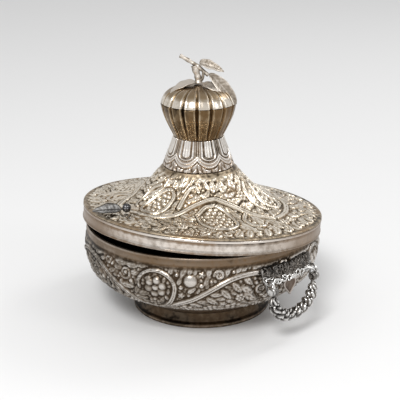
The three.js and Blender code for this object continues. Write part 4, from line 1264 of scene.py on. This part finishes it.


# Leaves of the branch, each with the node that it stands for. The ones that turn from the light get painted
# light: their tone is lifted.
leafUsual = {"fold": 0.25, "ribTone": 0.2, "edgeTone": 0.35, "paintedLight": 0.0}
finialLeaves = {
    "leafRight": {"node": "finial_leaf_right", "length": 26.0, "width": 9.8, "droop": 3.5, "belly": 1.05,
                  "blunt": 0.5, "azimuth": 27, "dip": 41, "roll": 34, "out": 7.5, "up": -3.6, "curl": 0.5},
    "leafTop": {"node": "finial_leaf_top", "length": 17.4, "width": 9.2, "droop": 3.5, "belly": 0.7,
                "blunt": 0.6, "azimuth": 57, "dip": 12, "roll": 32, "out": 0.7, "up": 2.6, "curl": 0.3},
    "leafLeft": {"node": "finial_leaf_left", "length": 18.4, "width": 10, "droop": 3.6, "belly": 0.8,
                 "blunt": 0.65, "azimuth": -113, "dip": 8, "roll": -12, "out": 1.5, "up": -9.6, "curl": -1.3,
                 "paintedLight": 0.6},
    "leafSmall": {"node": "finial_leaf_small", "length": 12.2, "width": 7.0, "droop": 2.5, "belly": 0.8,
                  "blunt": 0.6, "azimuth": 5, "dip": 8, "roll": 20, "out": 4.8, "up": -9.8, "curl": 0.3,
                  "paintedLight": 0.3},
}


# Each leaf starts a little way out from the stem along its azimuth, and so far above or below the twig
def makeLeaves(twig):
    for name, own in finialLeaves.items():
        shape = {**leafUsual, **own}
        points, faces, tone = leafPatch(shape, 0.9)
        azimuth, out = math.radians(shape["azimuth"]), shape["out"]
        place = np.array([out * math.cos(azimuth), out * math.sin(azimuth), twig + shape["up"]])
        points = points @ turnOf(shape["roll"], shape["dip"], shape["azimuth"]).T + place + crownPlace
        makePiece(name, [(points, faces, tone)], "lid", "leaf_silver", [shape["node"]], "cast_silver")


# Sprig near the lid's edge, placed on the dome as the frame's is
sprigSettings = {
    "inset": 13.6, "azimuth": -94, "heading": -132, "length": 18.5, "width": 10.4, "fold": 0.3, "droop": 0.6,
    "belly": 0.8, "blunt": 0.75, "curl": 0.5, "roll": -20, "lift": 2.5, "thickness": 0.7,
    # Painted light: the sprig leaf's tone is lifted a little
    "ribTone": -0.5, "edgeTone": -0.75, "paintedLight": 0.08, "budRadius": 3.0, "budLift": 0.9,
}


# Place on the dome from a place in plan
def domeSpot(place):
    outline = domeOutline(200)
    radius = math.hypot(*place)
    height = np.interp(-radius, -outline[:, 0], outline[:, 1])
    return onDome(radius, height, math.atan2(place[1], place[0]), crownShare(radius))


# Leaf laid along the dome's slope, and a bud behind its foot whose radius swells and shrinks in little knobs
def makeSprig():
    sprig = sprigSettings
    azimuth, heading = math.radians(sprig["azimuth"]), math.radians(sprig["heading"])
    foot = (sizes["lidRadius"] - sprig["inset"]) * np.array([math.cos(azimuth), math.sin(azimuth)])
    along = np.array([math.cos(heading), math.sin(heading)])
    base = domeSpot(foot)
    run = domeSpot(foot + along * sprig["length"] * 0.7) - base
    slope = math.degrees(math.atan2(run[2], math.hypot(run[0], run[1])))
    points, faces, tone = leafPatch(sprig, sprig["thickness"])
    points = points @ turnOf(sprig["roll"], -slope, sprig["heading"]).T + base
    points = toLid(points + np.array([0, 0, sprig["lift"]]))
    makePiece("sprigLeaf", [(points, faces, tone)], "lid", "cast_silver", ["sprig_leaf"])
    reach = sprig["budRadius"]
    bud = domeSpot(foot - along * (reach + 0.3)) + np.array([0, 0, reach + sprig["budLift"]])
    up = np.linspace(-math.pi / 2, math.pi / 2, 50)[1:-1, None]
    angles = roundAngles(80)
    knobs = np.abs(np.sin(angles * 4.0) * np.cos(up * 5)) ** 0.6
    radius = reach * (0.87 + 0.12 * knobs)
    grid = toLid(turnedGrid(radius * np.cos(up), radius * np.sin(up), angles) + bud)
    makePiece("sprigBud", [skinPatch(grid, 0.08 + 0.42 * knobs)], "lid", "dark_silver", ["sprig_bud"])


# Handles, made for +X and turned half way round for -X. The plate's lower edge and the pivots lie where the
# frame has them.
handleSettings = {
    "halfWidth": 22.0, "top": 52.5, "bottom": 40.0, "thickness": 1.4, "plateReach": 82.5, "lean": 3.2,
    "pivotReach": 85.0, "pivotHeight": 38.5, "earY": 20.0, "spacing": 35.0,
}
bracketSettings = {
    "rings": 10, "ringHeight": 2.9, "ringRadius": 1.9, "ringWire": 0.6,
    "scrolls": 9, "scrollPitch": 4.7, "scrollHeight": 7.6, "scrollRadius": 2.0, "scrollWire": 0.52,
    "upperRadius": 1.5, "upperWire": 0.45, "stalkWire": 0.42, "forkFrom": 11.0,
}
plateRun = bowlOutline(120)


# Place on the plate: so far to the side, at a height, and so far out from its back. The back follows the
# bowl and leans out towards its lower edge.
def plateSpot(y, z, out):
    handle = handleSettings
    share = (handle["top"] - z) / (handle["top"] - handle["bottom"])
    back = np.interp(z, plateRun[:, 1], plateRun[:, 0]) + 0.3 + handle["lean"] * np.clip(share, 0, None)
    reach = np.where(share > 1, handle["plateReach"], back) + out
    x = np.sqrt(np.maximum(reach ** 2 - np.square(y), 0))
    return np.stack([x, y + 0 * reach, z + 0 * reach], axis=-1)


# Bar on the plate from a run of (y, z) places
def plateBar(places, radius, tone, out, count):
    run = evenRun(splineRun(places, 200), count)
    return barPatch(plateSpot(run[:, 0], run[:, 1], out), radius, 10, tone)


# Places of a spiral: the angle grows evenly and the radius shrinks by a third on the way
def spiralPlaces(y, z, radius, start, turns):
    t = np.linspace(0, 1, 30)
    angle = math.radians(start) + turns * 2 * math.pi * t
    reach = radius * (1 - 0.35 * t)
    return [(y + r * math.cos(a), z + r * math.sin(a)) for r, a in zip(reach, angle)]


# Tone of the bracket: darker above, brighter along its lower edge
def bracketTone(z):
    low = handleSettings["bottom"]
    return 0.32 + 0.6 * (1 - smoothStep(low + 3.0, low + 7.5, z))


# Spiral on the plate, in the tone of its height
def plateCurl(y, z, radius, start, turns, wire, out=0.9):
    return plateBar(spiralPlaces(y, z, radius, start, turns), wire, bracketTone(z), out, 30)


# Ball on the plate, a little lighter than the tone of its height
def plateBall(y, z, radius, out):
    return ballPatch(plateSpot(y, z, out), radius, 12, 7, min(bracketTone(z) + 0.12, 1.0))


# Lower edge: a chain of small rings and balls, each ring a little different
def bracketEdge():
    bracket, wide, bottom = bracketSettings, handleSettings["halfWidth"], handleSettings["bottom"]
    count = bracket["rings"]
    patches = []
    for i in range(count):
        y = (i + 0.5 - count / 2) * 2 * (wide - 1.5) / count
        unrest = 0.7 * math.sin(i * 2.4)
        z = bottom + bracket["ringHeight"] + unrest
        patches.append(plateCurl(y, z, bracket["ringRadius"] + 0.5 * math.cos(i * 1.9), 40 + 50 * i, 0.95,
                                 bracket["ringWire"] + 0.12 * math.sin(i * 4.1), 1.0))
        if i % 3:
            patches.append(plateBall(y + 2.05, bottom + 1.7 - unrest, 0.85 + 0.2 * math.cos(i * 3.3), 0.9))
        if i % 2:
            patches.append(plateBall(y, z, 0.55, 1.4))
    return patches


# Two rows of scrolls that turn to and fro, with stalks between
def bracketScrolls():
    bracket, top, bottom = bracketSettings, handleSettings["top"], handleSettings["bottom"]
    patches = []
    for i in range(bracket["scrolls"]):
        y = (i - bracket["scrolls"] // 2) * bracket["scrollPitch"]
        z = bottom + bracket["scrollHeight"] + 0.4 * math.sin(i * 3.1)
        hand = 1 if i % 2 else -1
        patches.append(plateCurl(y, z, bracket["scrollRadius"], 90 * i, 1.15 * hand, bracket["scrollWire"]))
        patches.append(plateBall(y, z, 0.62, 1.2))
        patches.append(plateCurl(y + 2.3, top - 2.3, bracket["upperRadius"], -60 * hand, 0.9 * hand,
                                 bracket["upperWire"]))
        stalk = [(y + 2.5, bottom + 5.0), (y + 1.9 + 0.5 * hand, bottom + 8), (y + 2.6, top - 0.9)]
        patches.append(plateBar(stalk, bracket["stalkWire"], bracketTone(top - 4), 0.6, 20))
    return patches


# One end of the bracket: wings beyond the plate, then the scroll, the fork's arm and the root that carry
# the round ear. side is 1 or -1.
def bracketEnd(side):
    handle = handleSettings
    wide, top, bottom, earY = handle["halfWidth"], handle["top"], handle["bottom"], handle["earY"]
    reach, level = handle["pivotReach"], handle["pivotHeight"]
    edge = [(side * (wide - 0.9), top - 1), (side * (wide - 0.3), (top + bottom) / 2),
            (side * (wide - 1.4), bottom + 1)]
    patches = [plateCurl(side * (wide - 2.4), top - 3.0, 2.2, 90, 0.9 * side, 0.6),
               plateCurl(side * (wide - 1.6), bottom + 5.2, 1.7, -90, 0.8 * side, 0.6),
               plateBar(edge, 0.6, 0.5, 0.8, 40), earPatch(side)]
    scroll = [(reach - 4.4, bottom + 4.5), (reach - 2.2, bottom + 5.4), (reach + 0.6, bottom + 4.2),
              (reach + 1.6, bottom + 1.8), (reach + 0.8, level + 2.4)]
    run = splineRun([(x, side * earY, z) for x, z in scroll], 26)
    patches.append(barPatch(run, np.linspace(0.6, 0.95, 26), 12, 0.92))
    fork = [plateSpot(side * bracketSettings["forkFrom"], bottom + 3.6, 1.2),
            (reach - 2.6, side * 15.0, bottom + 4.4), (reach - 0.6, side * 18.6, bottom + 3.2),
            (reach + 0.2, side * earY, bottom + 1.4)]
    patches.append(barPatch(splineRun(fork, 30), np.linspace(0.95, 0.8, 30), 12, 1.0))
    root = [(reach - 4.5, bottom + 3.0), (reach - 4.6, bottom - 0.4), (reach - 3.6, level - 1.2),
            (reach - 2.2, level - 1.4)]
    run = splineRun([(x, side * earY, z) for x, z in root], 18)
    patches.append(barPatch(run, 0.8, 12, 0.6))
    return patches


# Bracket: two level wires, the edge of rings, the scrolls and both ends
def bracketPatches():
    wide, top, bottom = handleSettings["halfWidth"], handleSettings["top"], handleSettings["bottom"]
    patches = []
    for z, wire, tone in ((top - 0.7, 0.45, 0.02), (bottom + 5.4, 0.45, 0.4)):
        places = [(1 - wide, z), (-wide / 2, z + 0.4), (0, z - 0.3), (wide / 2, z + 0.3), (wide - 1, z)]
        patches.append(plateBar(places, wire, tone, 0.7, 70))
    return patches + bracketEdge() + bracketScrolls() + bracketEnd(-1) + bracketEnd(1)


# Collar about the pivots' axis from (radius, along) points
def collarPatch(profile, y, tone):
    angles = roundAngles(28)
    reach, level = handleSettings["pivotReach"], handleSettings["pivotHeight"]
    grid = np.stack([reach + profile[:, :1] * np.cos(angles), np.repeat(y + profile[:, 1:], 28, axis=1),
                     level + profile[:, :1] * np.sin(angles)], axis=-1)
    return skinPatch(grid, tone, wrapRows=True)


# Round end of the bracket, bored for the pin
def earPatch(side):
    half = [(1.4, 0.8), (1.9, 0.9), (2.5, 0.8), (2.85, 0.3)]
    profile = [(radius, -along) for radius, along in half] + half[::-1]
    return collarPatch(np.array(profile), side * handleSettings["earY"], 0.6)


# Wreath that hangs from the pins: how many clumps it has, its drop below the pivots, and the radii of its
# core, of a clump and of the leaves' ridges
bailSettings = {
    "clumps": 10, "start": 4.7, "drop": 20.5, "core": 1.35, "swell": 1.75, "leaf": 1.05, "ridges": 3,
    "slant": 1.15, "fuller": 0.13, "rings": 460, "columns": 56, "ballRadius": 0.95, "ballReach": 2.1,
    "bore": 1.55, "eyeRadius": 2.7, "eyeWidth": 2.6,
}


# Middle line of the wreath, between the frame's half ring and the fuller ring of the photograph: a half
# circle from eye to eye, straight near the eyes and wider than a circle at its sides
def bailPath():
    bail, half = bailSettings, handleSettings["spacing"] / 2
    angle = np.linspace(0, math.pi, 200)
    z = half - bail["drop"] - half * np.sin(angle) ** 0.9
    blend = np.minimum(1, np.sin(angle) * 4)
    z = -bail["start"] * (1 - blend) + np.minimum(z, -bail["start"]) * blend
    y = -half * np.cos(angle) * (1 + bail["fuller"] * np.sin(angle) ** 0.5 * np.abs(np.cos(angle)) ** 0.3)
    return evenRun(np.column_stack([np.zeros(200), y, z]), bail["rings"])


# Wreath: clumps of slanting laurel leaves round the core, with small balls between. Within a clump the
# leaves start low, swell and end at a sharp step, and their ridges are a cosine that turns on the way.
def bailPatches():
    bail, count, half = bailSettings, bailSettings["clumps"], handleSettings["spacing"] / 2
    path = bailPath()
    share = np.linspace(0, 1, bail["rings"])[:, None]
    ends = np.minimum(share, 1 - share)
    taper = np.minimum(1, 0.45 + 6.5 * ends)
    along = np.gradient(path, axis=0)
    along /= np.linalg.norm(along, axis=1)[:, None]
    outward = np.array([1.0, 0, 0])
    across = np.cross(along, outward)
    around = roundAngles(bail["columns"])[None, :]
    within = (count * ends) % 1.0
    clump = np.sin(math.pi * within ** 0.8) ** 0.55
    lean = np.where(share < 0.5, bail["slant"], -bail["slant"])
    ridge = np.abs(np.cos(bail["ridges"] * around + lean * math.pi * within)) ** 0.9
    radius = taper * (bail["core"] + bail["swell"] * clump + bail["leaf"] * ridge * clump)
    grid = path[:, None, :] + radius[..., None] * (np.cos(around)[..., None] * outward
                                                   + np.sin(around)[..., None] * across[:, None, :])
    place = np.array([handleSettings["pivotReach"], 0, handleSettings["pivotHeight"]])
    patches = [skinPatch(grid + place, 0.03 + 0.17 * clump + 0.74 * (ridge * clump) ** 1.5)]
    for gap in range(1, count):
        at = int(gap / count * (bail["rings"] - 1))
        for k in range(4):
            spin = math.pi * (k / 2 + 0.25 * (gap % 2))
            out = math.cos(spin) * outward + math.sin(spin) * across[at]
            ball = path[at] + place + out * bail["ballReach"]
            patches.append(ballPatch(ball, bail["ballRadius"], 12, 7, 0.95))
    bore, reach, wide = bail["bore"], bail["eyeRadius"], bail["eyeWidth"] / 2
    eye = np.array([(bore, -wide + 0.2), (bore + 0.2, -wide), (reach - 0.3, -wide), (reach, -wide + 0.4),
                    (reach, wide - 0.4), (reach - 0.3, wide), (bore + 0.2, wide), (bore, wide - 0.2)])
    for side in (-1, 1):
        patches.append(collarPatch(eye, side * half, 0.42))
        shank = [(0, side * half, -2.1), (0, side * half, -3.6), (0, side * half, -bail["start"] - 1)]
        patches.append(barPatch(splineRun(shank, 10) + place, np.linspace(1.0, 1.35, 10), 12, 0.5))
    return patches


# Pendant: a pointed shield. Its half outline is in shares of half width and length, and its rings, from the
# back's middle round to the front's, are a share of the outline, how far out they stand and their tone.
pendantSettings = {
    "width": 11.6, "length": 10.7, "thickness": 1.3, "hang": 0.8,
    "half": [(0.75, 0), (0.97, 0.16), (0.98, 0.32), (0.8, 0.5), (0.4, 0.75)],
    "rings": [(0.05, 0.0, 0.3), (0.9, 0.0, 0.3), (0.99, 0.1, 0.4), (1.0, 0.5, 0.5), (0.99, 1.1, 0.85),
              (0.94, 1.3, 1.0), (0.86, 1.25, 1.0), (0.80, 0.8, 0.35), (0.74, 0.62, 0.2), (0.5, 0.68, 0.3),
              (0.2, 0.72, 0.35), (0.05, 0.72, 0.35)],
}


# Each ring is the outline drawn in towards the middle by its share, and stood out along +X
def pendantPatch():
    handle, pendant = handleSettings, pendantSettings
    half, long = pendant["width"] / 2, pendant["length"]
    right = [(half * a, -long * b) for a, b in pendant["half"]]
    left = [(-y, z) for y, z in right]
    edge = evenRun(np.array([left[0], (0, 0), *right, (0, -long), *left[::-1]]), 73)[:-1]
    middle = np.array([0, -long * 0.36])
    x = handle["plateReach"] + handle["thickness"] / 2 - 1.1 - pendant["thickness"]
    grid = np.stack([np.column_stack([np.full(len(edge), x + out), middle + (edge - middle) * scale])
                     for scale, out, _ in pendant["rings"]])
    grid = grid + np.array([0, 0, handle["bottom"] + pendant["hang"]])
    return skinPatch(grid, np.array([[tone] for _, _, tone in pendant["rings"]]))


# Both handles: the same patches, turned half way round about +Z for the left one
def makeHandles():
    bracket, pendant, bail = bracketPatches(), [pendantPatch()], bailPatches()
    for side, sign in (("right", 1), ("left", -1)):
        for name, patches, body, finish in (("Bracket", bracket, "bowl", "cast_silver"),
                                            ("Pendant", pendant, "bowl", "pendant_silver"),
                                            ("Bail", bail, side + "_handle", "cast_silver")):
            turned = [(points * np.array([sign, sign, 1]), faces, tone) for points, faces, tone in patches]
            makePiece(side + name, turned, body, finish, [side + "_" + name.lower()], "cast_silver")


makeBowl()
makeFoot()
makeDome()
makeRimBand()
makeNeck()
makeKnob()
makeLeaves(makeBranch())
makeSprig()
makeHandles()

# The pins stay as the frame has them
pinSilver = makeSilver("pinSilver", silverFinishes["cast_silver"], steadyTone=0.7)
for name in ("right_pin_front", "right_pin_back", "left_pin_front", "left_pin_back"):
    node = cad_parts[name]
    node.data.materials.clear()
    node.data.materials.append(pinSilver)
print("pins painted")
